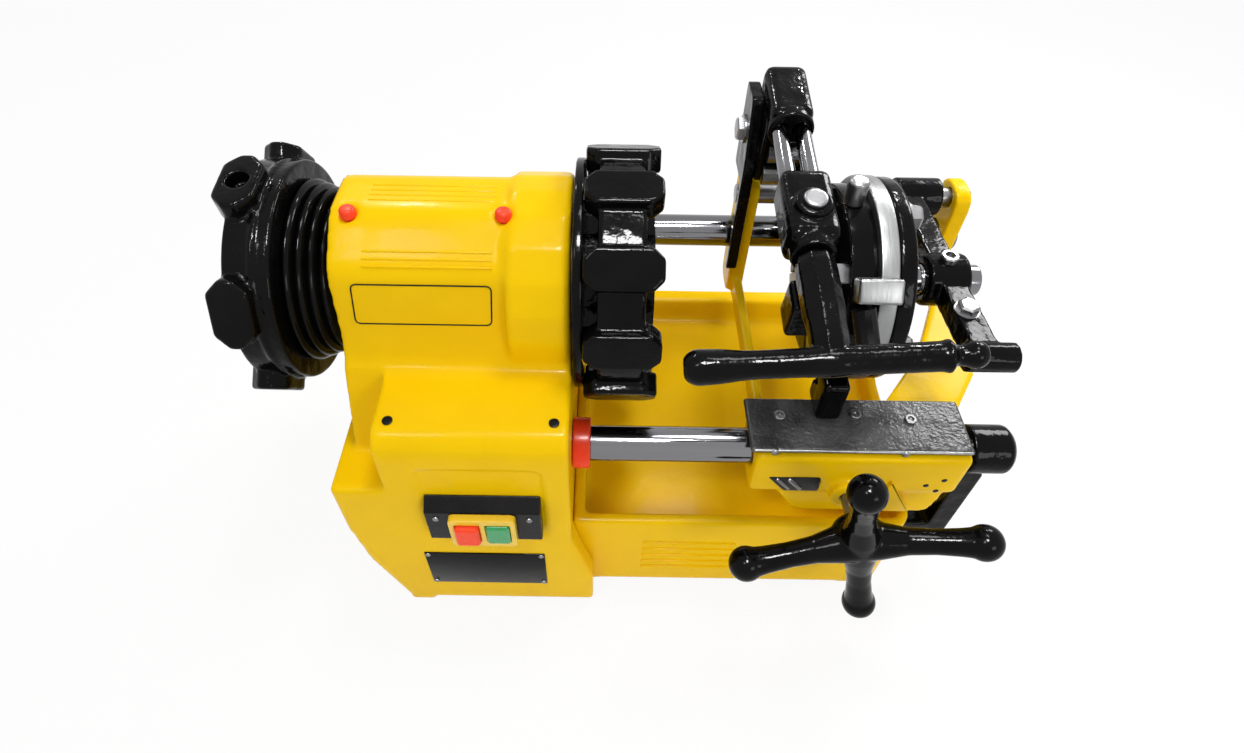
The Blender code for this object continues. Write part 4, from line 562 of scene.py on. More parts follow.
class PaintFrame(bpy.types.Operator):
    """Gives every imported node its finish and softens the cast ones"""

    bl_idname = "threader.paint_frame"
    bl_label = "Paint the frame"

    def execute(self, context):
        mix_finishes(context.scene.threader_paint)
        for row in frame["record"]["subparts"]:
            node = frame["nodes"][row["node"]]
            node.data.materials.clear()
            node.data.materials.append(FINISHES[row["material_slot"]])
        for name, voxel, rounds in MELTED:
            cast(frame["nodes"][name], voxel, rounds)
        # The cover's rough cast finish, whose lighter mottle is partly painted sheen
        frame["nodes"]["carriage_cover"].data.materials[0] = FINISHES["rough_cast"]
        return {"FINISHED"}


# Headstock: ribs on the drum's crown and shoulder as (y, z), panel line on its leaning face as (x, z)
CROWN_RIBS = [(y, 0.0677) for y in np.linspace(0.008, -0.008, 4)]
SHOULDER_RIBS = [(-0.020 - 0.032 * share, 0.0678 - 0.025 * share) for share in (0.62, 0.74, 0.86)]
DRUM_RIB = {"left": -0.152, "right": -0.070, "radius": 0.0009, "turns": 12, "cap": 4}
PANEL = [(-0.162, 0.006), (-0.160, 0.036), (-0.071, 0.036), (-0.073, 0.006)]
PANEL_CORNER, PANEL_BEAD = 0.004, 0.0005
DRUM_FACE_TOP, DRUM_FACE_Y, DRUM_FACE_LEAN = 0.043, -0.0521, 0.168
# Two screw heads on the ledge, black as painted shade of the holes they sit in
LEDGE_HOLE_SHADE_SCREWS = ((-0.1366, -0.113, -0.0261), (-0.0304, -0.113, -0.0261))
LEDGE_HOLE_SHADE_SCREW = {"radius": 0.0034, "head": 0.0010}
PLATE_X, PLATE_Z, PLATE_THICK, PLATE_EDGE = -0.088, -0.1935, 0.0016, 0.0006
RIVET_SHARE, RIVET = (0.94, 0, 0.89), {"radius": 0.0021, "height": 0.0012}
CAP = {"neck": 0.6, "neck_height": 0.0062, "crown": 0.92, "under": 0.0015, "over": 0.0035, "turns": 40}


class Housing(bpy.types.Operator):
    """Small details of the headstock casting: ribs, bare panel line, data plate, black screw heads whose black
    is painted shade of the ledge's two holes, and oil caps
    """

    bl_idname = "threader.housing"
    bl_label = "Headstock details"

    def execute(self, context):
        size = context.scene.threader_sizes
        ribs = beads(places=CROWN_RIBS + SHOULDER_RIBS, **DRUM_RIB)
        dressed("housing_ribs", ribs, "yellow_paint", "bed")
        corners = fillet(PANEL, PANEL_CORNER)
        depth = DRUM_FACE_Y - DRUM_FACE_LEAN * (DRUM_FACE_TOP - corners[:, 1])
        line = np.stack([corners[:, 0], depth, corners[:, 1]], 1)
        dressed("panel_outline", hoop(line, PANEL_BEAD), "black_plastic", "bed")
        # Black heads: painted shade of the ledge's two holes
        screws = several(socket_screw, LEDGE_HOLE_SHADE_SCREWS, UP, **LEDGE_HOLE_SHADE_SCREW)
        dressed("ledge_hole_shade_screws", screws, "black_plastic", "bed")
        front = span("headstock_housing")[0][1]
        middle = np.array((PLATE_X, front - PROUD, PLATE_Z))
        plate = pebble(middle, (size.plate_width, PLATE_THICK, size.plate_height), PLATE_EDGE, 4)
        dressed("data_plate", plate, "black_plastic", "bed", look="smooth_black")
        face = middle + (0, -PLATE_THICK / 2, 0)
        half = np.array((size.plate_width / 2, 0, size.plate_height / 2)) * RIVET_SHARE
        places = [face + half * (a, 0, b) for a in (-1, 1) for b in (-1, 1)]
        dressed("plate_rivets", several(dome, places, FRONT, **RIVET), "steel", "bed")
        for node in ("oil_cap_left", "oil_cap_right"):
            dressed(node + "_dome", mushroom(node, **CAP), "red_plastic", "bed", (node,))
        return {"FINISHED"}


# Base: louvre ribs on the front of the tray, rails and the collar around the front one
TRAY_RIBS_Z = np.linspace(-0.185, -0.225, 5)
TRAY_RIB = {"left": 0.034, "right": 0.108, "radius": 0.0015, "turns": 14, "cap": 5}
RAIL_EDGE, COLLAR_BORE, COLLAR_EDGE = 0.0015, 0.0133, 0.0012


class Base(bpy.types.Operator):
    """Louvre ribs of the chip tray casting, the rails and the red collar"""

    bl_idname = "threader.base"
    bl_label = "Base and rails"

    def execute(self, context):
        front = span("base_casting")[0][1] - PROUD
        ribs = beads(places=[(front, z) for z in TRAY_RIBS_Z], **TRAY_RIB)
        dressed("tray_ribs", ribs, "yellow_paint", "bed")
        for node in ("front_rail", "rear_rail"):
            dressed(node + "_bar", round_bar(node, RAIL_EDGE, 64), "chrome", "bed", (node,))
        low, high = span("rail_collar")
        outer, centre = (high[2] - low[2]) / 2, (low + high)[1:] / 2
        ring = collar(low[0], high[0], COLLAR_BORE, outer, COLLAR_EDGE, centre)
        dressed("red_collar", ring, "red_plastic", "bed", ("rail_collar",))
        return {"FINISHED"}


# Chucks: lobes as (count, degrees of the first), rooted in their wheel's band and melted into it
WHEEL_MELT, LOBE_ROOT, BAND = (0.0012, 3), 0.010, {"edge": 0.002, "turns": 160}
HAMMER_LOBES, HAMMER_LOBE = (10, -26), {"width": 0.027, "corner": 0.007, "edge": 0.0016}
HAMMER_BAND_LEFT, HAMMER_BAND_RIGHT, HAMMER_BORE = 0.009, 0.011, 0.0528
PLATE_RIM_LEFT, PLATE_RIM_RIGHT, PLATE_RIM = -0.0001, 0.0061, {"inner": 0.060, "edge": 0.0015}
REAR_LOBES, REAR_LOBE = (6, 8), {"width": 0.046, "corner": 0.009, "edge": 0.0022}
REAR_LOBE_LENGTH, REAR_BAND_LEFT, REAR_BORE = 0.026, 0.006, 0.0468
KEY_HOLE, KEY_HOLE_FOOT = [(0.0, 0.0), (0.0, 0.007), (0.05, 0.007), (0.05, 0.0)], 0.060
LIP_LEFT, LIP_RIGHT, LIP_INSIDE, LIP_OUTSIDE, LIP_EDGE = 0.003, 0.0005, 0.006, 0.0014, 0.001
RIB_RADII, RIB_GAP, RIB_HEIGHT, RIB_HALF = (0.0640, 0.0612, 0.0585, 0.0560), 0.0004, 0.005, 0.47
BODY_LEFT, BODY_BORE, BODY_NECK, BODY_END = -0.237, 0.032, 0.0458, 0.0500
BODY_STEP, BODY_STEP_BORE = -0.2273, 0.0383


class Chucks(bpy.types.Operator):
    """Lobed hand wheels of both chucks and the ribbed rear body"""

    bl_idname = "threader.chucks"
    bl_label = "Chucks"

    def execute(self, context):
        size = context.scene.threader_sizes
        self.hammer_wheel(size.hammer_core, size.hammer_reach)
        self.rear_wheel(size.rear_core, size.rear_reach)
        self.rear_body()
        return {"FINISHED"}

    def hammer_wheel(self, core, reach):
        """Band with lobes at equal angles, and the rim of the plate behind it."""
        low, high = span("hammer_chuck_wheel")
        lobe = hand_lobe(low[0], high[0], core - LOBE_ROOT, reach, **HAMMER_LOBE)
        band = collar(low[0] + HAMMER_BAND_LEFT, high[0] - HAMMER_BAND_RIGHT, HAMMER_BORE, core, **BAND)
        wheel, nodes = joined(band, *spread(lobe, *HAMMER_LOBES)), ("hammer_chuck_wheel",)
        dressed("hammer_wheel_cast", wheel, "black_enamel", "hammer_wheel", nodes, WHEEL_MELT)
        low, high = span("hammer_chuck_body")
        outer = (high[2] - low[2]) / 2 + PROUD
        plate = collar(low[0] + PLATE_RIM_LEFT, low[0] + PLATE_RIM_RIGHT, outer=outer, **PLATE_RIM)
        dressed("hammer_plate_rim", plate, "black_enamel", "spindle", look="smooth_black")

    def rear_wheel(self, core, reach):
        """Band and lip with wide lobes, the first of them bored for the key."""
        low, high = span("rear_chuck_wheel")
        right = low[0] + REAR_LOBE_LENGTH
        lobe = hand_lobe(low[0], right, core - LOBE_ROOT, reach, **REAR_LOBE)
        hole = lathe(KEY_HOLE, ((low[0] + right) / 2, 0, KEY_HOLE_FOOT), UP, 32)
        lobes = spread(lobe, *REAR_LOBES)[1:] + spread(cut(lobe, hole), *REAR_LOBES)[:1]
        band = collar(low[0] + REAR_BAND_LEFT, high[0], REAR_BORE, core, **BAND)
        inner, outer = core - LIP_INSIDE, core + LIP_OUTSIDE
        lip = collar(right - LIP_LEFT, right + LIP_RIGHT, inner, outer, LIP_EDGE, turns=BAND["turns"])
        wheel, nodes = joined(band, lip, *lobes), ("rear_chuck_wheel",)
        dressed("rear_wheel_cast", wheel, "black_enamel", "rear_wheel", nodes, WHEEL_MELT)

    def rear_body(self):
        """Four half-round ribs, each smaller than the last, turned with the bored body as one profile."""
        left, right = span("rear_chuck_wheel")[1][0] + RIB_GAP, span("rear_chuck_body")[1][0]
        pitch = (right - left) / len(RIB_RADII)
        profile = [(BODY_LEFT, BODY_BORE), (BODY_LEFT, BODY_NECK), (left, BODY_NECK)]
        for i, radius in enumerate(RIB_RADII):
            middle, foot = left + pitch * (i + 0.5), radius - RIB_HEIGHT
            for t in np.linspace(0, math.pi, 9):
                profile.append((middle - pitch * RIB_HALF * math.cos(t), foot + RIB_HEIGHT * math.sin(t)))
        profile += [(right, BODY_END), (right, BODY_STEP_BORE)]
        profile += [(BODY_STEP, BODY_STEP_BORE), (BODY_STEP, BODY_BORE), profile[0]]
        points, faces = lathe(profile, POINT, RIGHT, 96)
        body, nodes = (points, faces[:-2]), ("rear_chuck_body",)
        dressed("rear_body_ribbed", body, "black_enamel", "spindle", nodes, look="smooth_black")


# Feed wheel: hub profile, and stations of an arm as (share of its length, radius)
STAR_Y, STAR_ARMS, STAR_FIRST_ARM, STAR_FORWARD = -0.145, 4, 13, 0.010
STAR_HUB = [(-0.013, 0.0), (-0.013, 0.010), (-0.004, 0.0185), (0.010, 0.0180), (0.016, 0.013), (0.016, 0.0)]
STAR_HUB_EDGE, STAR_MELT = 0.004, (0.0011, 8)
STAR_ARM = (
    (0.0, 0.0), (0.0, 0.0150), (0.18, 0.0130), (0.40, 0.0095),
    (0.62, 0.0088), (0.82, 0.0096), (1.0, 0.0112), (1.0, 0.0),
)


class Handwheel(bpy.types.Operator):
    """Four-armed feed wheel with knobbed ends, melted into one casting"""

    bl_idname = "threader.handwheel"
    bl_label = "Feed handwheel"

    def execute(self, context):
        size = context.scene.threader_sizes
        low, high = span("handwheel")
        hub = np.array(((low[0] + high[0]) / 2, STAR_Y, (low[2] + high[2]) / 2))
        parts = [lathe(rounded_profile(STAR_HUB, STAR_HUB_EDGE), hub, REAR, 48)]
        for i in range(STAR_ARMS):
            angle = math.radians(STAR_FIRST_ARM) + 2 * math.pi / STAR_ARMS * i
            across, up = math.cos(angle) * size.star_reach, math.sin(angle) * size.star_reach
            tip = hub + np.array((across, -STAR_FORWARD, up))
            length = np.linalg.norm(tip - hub)
            arm = [(share * length, radius) for share, radius in STAR_ARM]
            parts.append(lathe(arm, hub, tip - hub, 28))
            parts.append(pebble(tip, (size.star_knob * 2,) * 3, size.star_knob, 7))
        star, nodes = joined(*parts), ("handwheel",)
        dressed("feed_star", star, "black_enamel", "feed_wheel", nodes, STAR_MELT, look="smooth_black")
        return {"FINISHED"}


# Cutter: places along its own line, which runs to the rear and up from the middle of the cross bar
CUTTER_SLOPE, CROSS_BAR_TILT, CROSS_BAR_HALF = 10, -7, 0.083
# Cross bar from its left end (-1), middle (0) or right end (1): distance, share of the radius, arc
CROSS_BAR = (
    (-1, 0.0, 0.0, 0), (-1, 0.0, 0.75, 0.003), (-1, 0.006, 1.22, 0.005),
    (-1, 0.020, 1.16, 0.010), (-1, 0.036, 0.94, 0.010), (0, -0.014, 0.96, 0.008),
    (0, 0.0, 1.10, 0.008), (0, 0.016, 0.96, 0.008), (1, -0.024, 0.98, 0.002),
    (1, -0.020, 1.12, 0.001), (1, -0.017, 0.66, 0.002), (1, -0.013, 0.66, 0.002),
    (1, -0.006, 0.98, 0.004), (1, 0.0, 0.60, 0.003), (1, 0.0, 0.0, 0),
)
# Stem: distance, radius, arc
STEM = (
    (0.0, 0.0, 0), (0.0, 0.0090, 0.002), (0.010, 0.0112, 0.004), (0.026, 0.0112, 0.003),
    (0.032, 0.0122, 0.003), (0.064, 0.0124, 0.003), (0.0732, 0.0112, 0.002), (0.0732, 0.0075, 0),
    (0.110, 0.0075, 0.001), (0.110, 0.0, 0),
)
HANDLE_MELT = (0.0008, 5)
GUIDE_ASIDE, GUIDE = 0.00775, {"low": 0.1175, "high": 0.2075, "radius": 0.0058, "edge": 0.0006, "turns": 40}
BOSS_PIN = [(0.0, 0.0), (0.0, 0.0075), (0.0032, 0.0075), (0.0038, 0.006), (0.0038, 0.0)]
BOSS_PIN_AT, BOSS_PIN_EDGE = (0, 0.103, 0.0196), 0.0008
YOKE_RIM = {"left": 0.186, "right": 0.196, "inner": 0.010, "outer": 0.0160, "edge": 0.0022}
X_TO_REAR = np.array(((0, -1, 0, 0), (1, 0, 0, 0), (0, 0, 1, 0), (0, 0, 0, 1)), float)
PIN_HEAD, PIN_FLAT, PIN_START = 0.0062, 0.016, 0.004
PIN = {"radius": 0.006, "edge": 0.0008, "turns": 40}


class Cutter(bpy.types.Operator):
    """Pipe cutter: cross bar, stem, guide rods and the pin heads"""

    bl_idname = "threader.cutter"
    bl_label = "Pipe cutter"

    def execute(self, context):
        radius = context.scene.threader_sizes.bar_radius
        low, high = span("cutter_t_bar")
        place = Matrix.Translation((low + high) / 2) @ Matrix.Rotation(math.radians(CUTTER_SLOPE), 4, "X")
        tilt = place @ Matrix.Rotation(math.radians(CROSS_BAR_TILT), 4, "Y")
        rows = [(end * CROSS_BAR_HALF + along, radius * share, arc) for end, along, share, arc in CROSS_BAR]
        cross = placed(lathe(tabled(rows), POINT, RIGHT, 40), tilt)
        stem = placed(lathe(tabled(STEM), POINT, REAR, 64, octagon), place)
        handle, nodes = joined(cross, stem), ("cutter_t_bar", "cutter_screw")
        dressed("cutter_handle_cast", handle, "black_enamel", "cutter_handle", nodes, HANDLE_MELT)
        for node, side in (("guide_rod_1", -1), ("guide_rod_2", 1)):
            guide = rod((side * GUIDE_ASIDE, 0, 0), REAR, **GUIDE)
            dressed(node + "_bar", placed(guide, place), "chrome", "cutter", (node,))
        head = lathe(rounded_profile(BOSS_PIN, BOSS_PIN_EDGE), BOSS_PIN_AT, UP, 36)
        dressed("boss_pin", placed(head, place), "steel", "cutter")
        rim = placed(collar(**YOKE_RIM), X_TO_REAR)
        dressed("yoke_rim", placed(rim, place), "black_enamel", "cutter")
        low, high = span("cutter_pin")
        y, z = (low + high)[1:] / 2
        head = bolt((low[0] + PIN_HEAD, y, z), LEFT, PIN_FLAT, PIN_HEAD)
        pin = joined(head, rod((0, y, z), RIGHT, low[0] + PIN_START, high[0], **PIN))
        dressed("cutter_pin_bolt", pin, "steel", "carriage", ("cutter_pin",))
        return {"FINISHED"}


# Die head: rings along X, and what is set around them by degrees from the top
SLEEVE_LEFT, SLEEVE_RIGHT, SLEEVE = 0.0085, 0.0244, {"inner": 0.065, "outer": 0.0662, "edge": 0.0004}
CAM_WIDTH, CAM = 0.0117, {"inner": 0.0405, "outer": 0.072, "edge": 0.0012}
LUG_ANGLE, LUG_SHIFT, LUG_SHORTER, LUG_Z = 54, 0.002, 0.004, 0.0742
LUG_WIDE, LUG_HIGH, LUG_EDGE = 0.016, 0.0130, 0.002
DIE_COVER = {"inner": 0.034, "outer": 0.071, "edge": 0.003}
DIE_BOLTS, DIE_FIRST_BOLT, DIE_BOLT_SUNK = 4, 6, 0.0004
DIE_BOLT_CIRCLE, DIE_BOLT = 0.060, {"flat": 0.0145, "head": 0.0095}
DIE_SCREW_CIRCLE, DIE_SCREW = 0.0435, {"radius": 0.0050, "head": 0.005}
KNOB = {"neck": 0.6, "neck_height": 0.0115, "crown": 1.0, "under": 0.0008, "over": 0.0030, "turns": 48}


class DieHead(bpy.types.Operator):
    """Die head: smooth rims, cam ring with its lug, cover bolts and the knob"""

    bl_idname = "threader.die_head"
    bl_label = "Die head"

    def execute(self, context):
        left = span("die_head_body")[0][0]
        sleeve = collar(left + SLEEVE_LEFT, left + SLEEVE_RIGHT, **SLEEVE)
        dressed("die_body_rim", sleeve, "black_enamel", "die_head", look="smooth_black")
        low, high = span("cam_ring")
        ring = collar(high[0] - CAM_WIDTH, high[0], **CAM)
        middle = ((low[0] + high[0]) / 2 + LUG_SHIFT, 0, LUG_Z)
        lug = pebble(middle, (high[0] - low[0] - LUG_SHORTER, LUG_WIDE, LUG_HIGH), LUG_EDGE)
        cam = joined(ring, turned_about(lug, math.radians(LUG_ANGLE)))
        dressed("cam_ring_turned", cam, "aluminium", "cam", ("cam_ring",))
        low, high = span("die_head_cover")
        cover = collar(low[0], high[0], **DIE_COVER)
        dressed("die_cover_turned", cover, "black_enamel", "die_head", ("die_head_cover",))
        bolts, foot = [], (high[0] - DIE_BOLT_SUNK, 0, 0)
        for i in range(DIE_BOLTS):
            angle = math.radians(DIE_FIRST_BOLT + 360 / DIE_BOLTS * i)
            spoke = np.array((0, -math.sin(angle), math.cos(angle)))
            bolts.append(bolt(spoke * DIE_BOLT_CIRCLE + foot, RIGHT, **DIE_BOLT))
            bolts.append(socket_screw(spoke * DIE_SCREW_CIRCLE + foot, RIGHT, **DIE_SCREW))
        dressed("die_cover_bolts", joined(*bolts), "steel", "die_head")
        knob = mushroom("die_knob", **KNOB)
        dressed("die_knob_turned", knob, "chrome", "die_head", ("die_knob",), look="aluminium")
        return {"FINISHED"}


# Reamer: a groove near the bar's left end, and the heads on its arm
GROOVE_START, GROOVE_MIDDLE, GROOVE_END, GROOVE_SHARE, GROOVE_ARC = 0.010, 0.0105, 0.012, 0.93, 0.0003
ARM_HEADS_LEFT, SHAFT_EDGE = 0.005, 0.001


class Reamer(bpy.types.Operator):
    """Reamer bar, the bolts and set screw of its arm, and the tool shaft"""

    bl_idname = "threader.reamer"
    bl_label = "Reamer"

    def execute(self, context):
        low, high = span("reamer_bar")
        left, right, radius = low[0], high[0], (high[2] - low[2]) / 2
        profile = tabled([
            (left, 0.0, 0),
            (left, radius, 0.001),
            (left + GROOVE_START, radius, GROOVE_ARC),
            (left + GROOVE_MIDDLE, radius * GROOVE_SHARE, GROOVE_ARC),
            (left + GROOVE_END, radius, GROOVE_ARC),
            (right, radius, 0.0015),
            (right, 0.0, 0),
        ])
        turned = lathe(profile, POINT, RIGHT, 48)
        dressed("reamer_bar_turned", turned, "chrome", "reamer_tool", ("reamer_bar",))
        low, high = span("reamer_arm")
        middle = (low[0] + high[0]) / 2 - ARM_HEADS_LEFT
        heads = joined(
            bolt((middle, 0.034, -0.0052), (0, 0.37, 0.93), 0.0135, 0.009),
            socket_screw((middle - 0.002, 0.0, 0.0186), UP, 0.0062, 0.0045),
            bolt((middle, -0.042, 0.0103), (0, -0.04, 1), 0.0125, 0.007),
        )
        dressed("reamer_bolts", heads, "steel", "reamer")
        shaft = round_bar("tool_shaft", SHAFT_EDGE, 48)
        dressed("tool_shaft_bar", shaft, "steel", "carriage", ("tool_shaft",))
        return {"FINISHED"}


# Carriage: places on the cover's top as (x, y), on the apron as (x, z), on the edge and the switch as x
COVER_SCREWS = ((0.183, -0.068), (0.222, -0.072), (0.128, -0.070))
COVER_SCREW = {"radius": 0.0042, "head": 0.0022}
# Bead along the cover's top front edge, in bright metal: a painted highlight of the cover's glossy bevel
STRIP_INSET, STRIP_BACK, STRIP_DOWN, STRIP_RADIUS = 0.002, 0.0004, 0.0006, 0.0011
STUDS, STUD = (0.121, 0.212), {"radius": 0.0030, "height": 0.0016}
APRON_BEHIND = 0.008  # how far the apron's face lies behind the foremost point of the casting
WINDOW = [(0.120, -0.0985), (0.1580, -0.0985), (0.1595, -0.1160), (0.134, -0.1160)]
WINDOW_CORNER, WINDOW_PROUD, WINDOW_DEEP, WINDOW_EDGE = 0.0025, 0.0004, 0.004, 0.0003
SLATS, SLAT_TOP, SLAT_FOOT, SLAT_LEAN = ((0.1265, 0.0013), (0.1350, 0.0018)), -0.1003, -0.1142, 0.0115
GUSSET = [(0.2090, -0.100), (0.2330, -0.1400), (0.2045, -0.1400)]
GUSSET_CORNER, GUSSET_PROUD, GUSSET_DEEP, GUSSET_EDGE = 0.002, 0.0025, 0.006, 0.001
# Three black dots on the apron as (x, z): painted shade of three holes
HOLE_SHADE_DOTS, HOLE_SHADE_DOT = ((0.236, -0.107), (0.2455, -0.114), (0.247, -0.100)), {"radius": 0.0021, "height": 0.0005}
SWITCH_SCREWS, SWITCH_SCREWS_Z = (-0.1135, -0.0490), -0.103
SWITCH_SCREW = {"radius": 0.0024, "height": 0.0012}


class Carriage(bpy.types.Operator):
    """Cover screws, a bright bead on the cover's edge that is a painted highlight, the apron's window with a
    black inlay and three dark dots that are painted shade, its gusset, and the switch screws
    """

    bl_idname = "threader.carriage"
    bl_label = "Carriage and switch screws"

    def execute(self, context):
        low, high = span("carriage_cover")
        top = high[2]
        places = [(x, y, top - PROUD) for x, y in COVER_SCREWS]
        dressed("cover_screws", several(socket_screw, places, UP, **COVER_SCREW), "steel", "carriage")
        # Bright bead on the cover's front edge: painted highlight; the two studs below it are domes on the
        # front
        place = (low[1] + STRIP_BACK, top - STRIP_DOWN)
        edge_highlight = beads(low[0] + STRIP_INSET, high[0] - STRIP_INSET, [place], STRIP_RADIUS, 16, 5)
        places = [(x, low[1] - PROUD, (low[2] + top) / 2) for x in STUDS]
        edge = joined(edge_highlight, several(dome, places, FRONT, **STUD))
        dressed("cover_edge_highlight_bead", edge, "steel", "carriage", look="aluminium")
        self.apron(span("carriage_casting")[0][1] + APRON_BEHIND)
        face = span("switch_plate")[0][1] - PROUD
        places = [(x, face, SWITCH_SCREWS_Z) for x in SWITCH_SCREWS]
        dressed("switch_screws", several(dome, places, FRONT, **SWITCH_SCREW), "steel", "bed")
        return {"FINISHED"}

    def apron(self, front):
        """Window with two slats, the gusset beside it and three dark dots, all on the apron's face; the
        window's black inlay and the dots are painted shade of the opening and of three holes.
        """
        outline, near = fillet(WINDOW, WINDOW_CORNER), front - PROUD
        # Black inlay in the window: painted shade of the opening
        window = drawn(outline, 1, front - WINDOW_PROUD, front + WINDOW_DEEP, WINDOW_EDGE)
        dressed("apron_window_shade", window, "black_plastic", "carriage")
        slats = [capsule((x, near, SLAT_TOP), (x + SLAT_LEAN, near, SLAT_FOOT), r, 12, 4) for x, r in SLATS]
        dressed("window_slats", joined(*slats), "steel", "carriage")
        outline = fillet(GUSSET, GUSSET_CORNER)
        gusset = drawn(outline, 1, front - GUSSET_PROUD, front + GUSSET_DEEP, GUSSET_EDGE)
        dressed("apron_gusset", gusset, "yellow_paint", "carriage")
        # Black dots: painted shade of three holes in the apron
        hole_shade_dots = several(dome, [(x, front, z) for x, z in HOLE_SHADE_DOTS], FRONT, **HOLE_SHADE_DOT)
        dressed("apron_hole_shade_dots", hole_shade_dots, "black_plastic", "carriage")


# Stage: the camera in pixels of its picture, and lamps as name, place, side, watts and aim
PICTURE_WIDTH, PICTURE_HEIGHT, VIEW_X, VIEW_Y = 1244, 753, 603, 345
FOCAL_PIXELS, SENSOR_WIDTH = 735, 36.0
CAMERA_PLACE, CAMERA_DOWN, CAMERA_ROLL = (0, -0.392, 0.353), 47.5, 0.9
MACHINE, TRAY = (0, 0, 0.15), (0.15, 0.05, 0.1)
LAMPS = (
    ("key", (-0.7, -0.9, 2.0), 0.32, 8.5, MACHINE),
    ("fill", (1.0, -1.6, 1.0), 0.60, 8.5, MACHINE),
    ("top", (0.25, 0.35, 2.0), 0.40, 13, MACHINE),
    ("tray", (0.7, 0.6, 0.75), 0.25, 5.5, TRAY),
    ("glint_left", (-0.6, 1.2, 1.5), 0.10, 7.0, MACHINE),
    ("glint_right", (0.65, 1.3, 1.3), 0.10, 7.0, MACHINE),
    ("glint_front", (0.0, -0.5, 1.9), 0.30, 45, MACHINE),
)
WHITE, WORLD_LIGHT = (1, 1, 1, 1), 0.45
FLOOR_WHITE, FLOOR_HALF, FLOOR_BELOW = 0.90, 6, 0.0005


def look(way):
    """Rotation that points an object's -Z along a direction."""
    return Vector(way).to_track_quat("-Z", "Y").to_matrix().to_4x4()


def reckoned(tree, operation, first, second):
    """Output of one operation on two values or outputs."""
    node = tree.nodes.new("ShaderNodeMath")
    node.operation = operation
    return wired(tree, node, {0: first, 1: second}).outputs["Value"]


def seen_rays(tree):
    """One for rays from the camera, a reflection or a clear piece, and zero for light."""
    path = tree.nodes.new("ShaderNodeLightPath").outputs
    total = path["Is Camera Ray"]
    for kind in ("Is Glossy Ray", "Is Transmission Ray"):
        total = reckoned(tree, "MAXIMUM", total, path[kind])
    return total


def split(tree, end, share, light, shown):
    """Ends a tree in one shader for light and, by a share, another for what is seen."""
    pick = wired(tree, "ShaderNodeMixShader", {"Fac": share, 1: light, 2: shown})
    wired(tree, tree.nodes[end], {"Surface": pick.outputs["Shader"]})


def floor_material():
    """Pale floor: lit for light, mostly plain white where it is seen, so a soft shadow stays."""
    material = finish("pale_floor", (0.90, 0.90, 0.90), (0.87, 0.87, 0.87), (0.5, 0.6))
    tree = material.node_tree
    glow = wired(tree, "ShaderNodeEmission", {"Color": WHITE}).outputs["Emission"]
    share = reckoned(tree, "MULTIPLY", seen_rays(tree), FLOOR_WHITE)
    split(tree, "Material Output", share, tree.nodes["Principled BSDF"].outputs["BSDF"], glow)
    return material


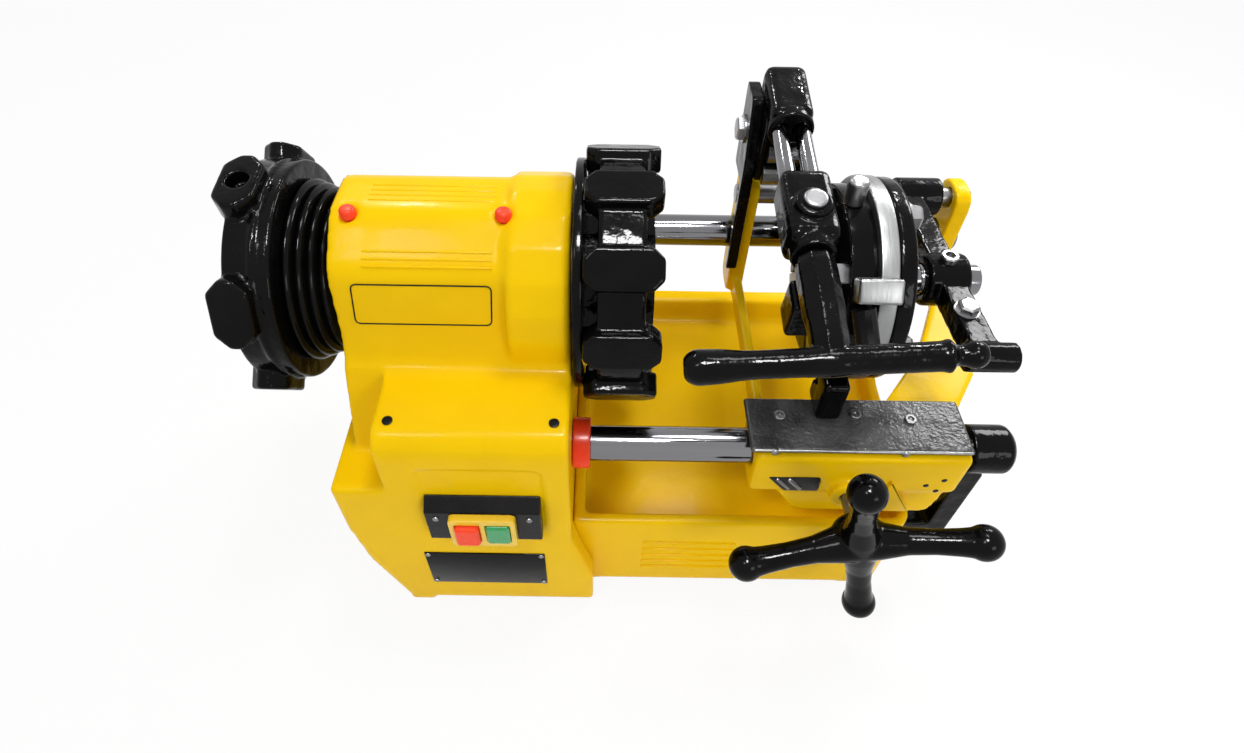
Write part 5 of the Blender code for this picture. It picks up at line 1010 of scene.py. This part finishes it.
class Stage(bpy.types.Operator):
    """Pale floor, soft lamps and the camera"""

    bl_idname = "threader.stage"
    bl_label = "Stage"

    def execute(self, context):
        scene = context.scene
        self.floor(scene)
        self.world(scene)
        self.lamps(scene)
        self.camera(scene)
        scene.view_settings.view_transform = "Standard"
        return {"FINISHED"}

    def floor(self, scene):
        """Square of three by three points just under the machine."""
        grid = np.linspace(-FLOOR_HALF, FLOOR_HALF, 3)
        x, y = np.meshgrid(grid, grid, indexing="ij")
        points = np.stack([x, y, np.full_like(x, CAD_BOX[0][2] - FLOOR_BELOW)], -1).reshape(-1, 3)
        mesh = bpy.data.meshes.new("floor")
        mesh.from_pydata(points.tolist(), [], [(i, i + 3, i + 4, i + 1) for i in (0, 1, 3, 4)])
        floor = bpy.data.objects.new("floor", mesh)
        scene.collection.objects.link(floor)
        mesh.materials.append(floor_material())

    def world(self, scene):
        """Even light from all sides, and plain white where the background is seen."""
        world = bpy.data.worlds.new("studio")
        scene.world = world
        world.use_nodes = True
        tree = world.node_tree
        light = wired(tree, tree.nodes["Background"], {"Color": WHITE, "Strength": WORLD_LIGHT})
        shown = wired(tree, "ShaderNodeBackground", {"Color": WHITE})
        outputs = light.outputs["Background"], shown.outputs["Background"]
        split(tree, "World Output", seen_rays(tree), *outputs)

    def lamps(self, scene):
        """Square lamps; the glints are seen in gloss only and add no plain light."""
        for name, place, side, watts, aim in LAMPS:
            lamp = bpy.data.lights.new(name, "AREA")
            lamp.size, lamp.energy = side, watts
            item = bpy.data.objects.new(name, lamp)
            scene.collection.objects.link(item)
            item.matrix_world = Matrix.Translation(place) @ look(np.array(aim) - np.array(place))
            item.visible_diffuse = not name.startswith("glint")

    def camera(self, scene):
        """Camera that looks down on the machine, its picture shifted to the middle of the view."""
        camera = bpy.data.cameras.new("camera")
        camera.sensor_width, camera.lens = SENSOR_WIDTH, FOCAL_PIXELS * SENSOR_WIDTH / PICTURE_WIDTH
        camera.shift_x = (PICTURE_WIDTH / 2 - VIEW_X) / PICTURE_WIDTH
        camera.shift_y = -(PICTURE_HEIGHT / 2 - VIEW_Y) / PICTURE_WIDTH
        item = bpy.data.objects.new("camera", camera)
        scene.collection.objects.link(item)
        place = Matrix.Translation(ORIGIN + np.array(CAMERA_PLACE))
        tilt = Matrix.Rotation(math.radians(90 - CAMERA_DOWN), 4, "X")
        item.matrix_world = place @ tilt @ Matrix.Rotation(math.radians(CAMERA_ROLL), 4, "Z")
        scene.camera = item


OPERATORS = (PaintFrame, Housing, Base, Chucks, Handwheel, Cutter, DieHead, Reamer, Carriage, Stage)


class ThreaderPanel(bpy.types.Panel):
    """Lists the machine's pieces in the sidebar"""

    bl_idname = "VIEW3D_PT_threader"
    bl_label = "Pipe threading machine"
    bl_space_type = "VIEW_3D"
    bl_region_type = "UI"
    bl_category = "Threader"

    def draw(self, context):
        for operator in OPERATORS:
            self.layout.operator(operator.bl_idname)


CLASSES = (ThreaderPaint, ThreaderSizes, *OPERATORS, ThreaderPanel)


def register():
    for some_class in CLASSES:
        bpy.utils.register_class(some_class)
    bpy.types.Scene.threader_paint = bpy.props.PointerProperty(type=ThreaderPaint)
    bpy.types.Scene.threader_sizes = bpy.props.PointerProperty(type=ThreaderSizes)


def unregister():
    del bpy.types.Scene.threader_sizes
    del bpy.types.Scene.threader_paint
    for some_class in reversed(CLASSES):
        bpy.utils.unregister_class(some_class)


def main():
    register()
    bpy.ops.threader.paint_frame()
    bpy.ops.threader.housing()
    bpy.ops.threader.base()
    bpy.ops.threader.chucks()
    bpy.ops.threader.handwheel()
    bpy.ops.threader.cutter()
    bpy.ops.threader.die_head()
    bpy.ops.threader.reamer()
    bpy.ops.threader.carriage()
    bpy.ops.threader.stage()


if __name__ == "__main__":
    main()
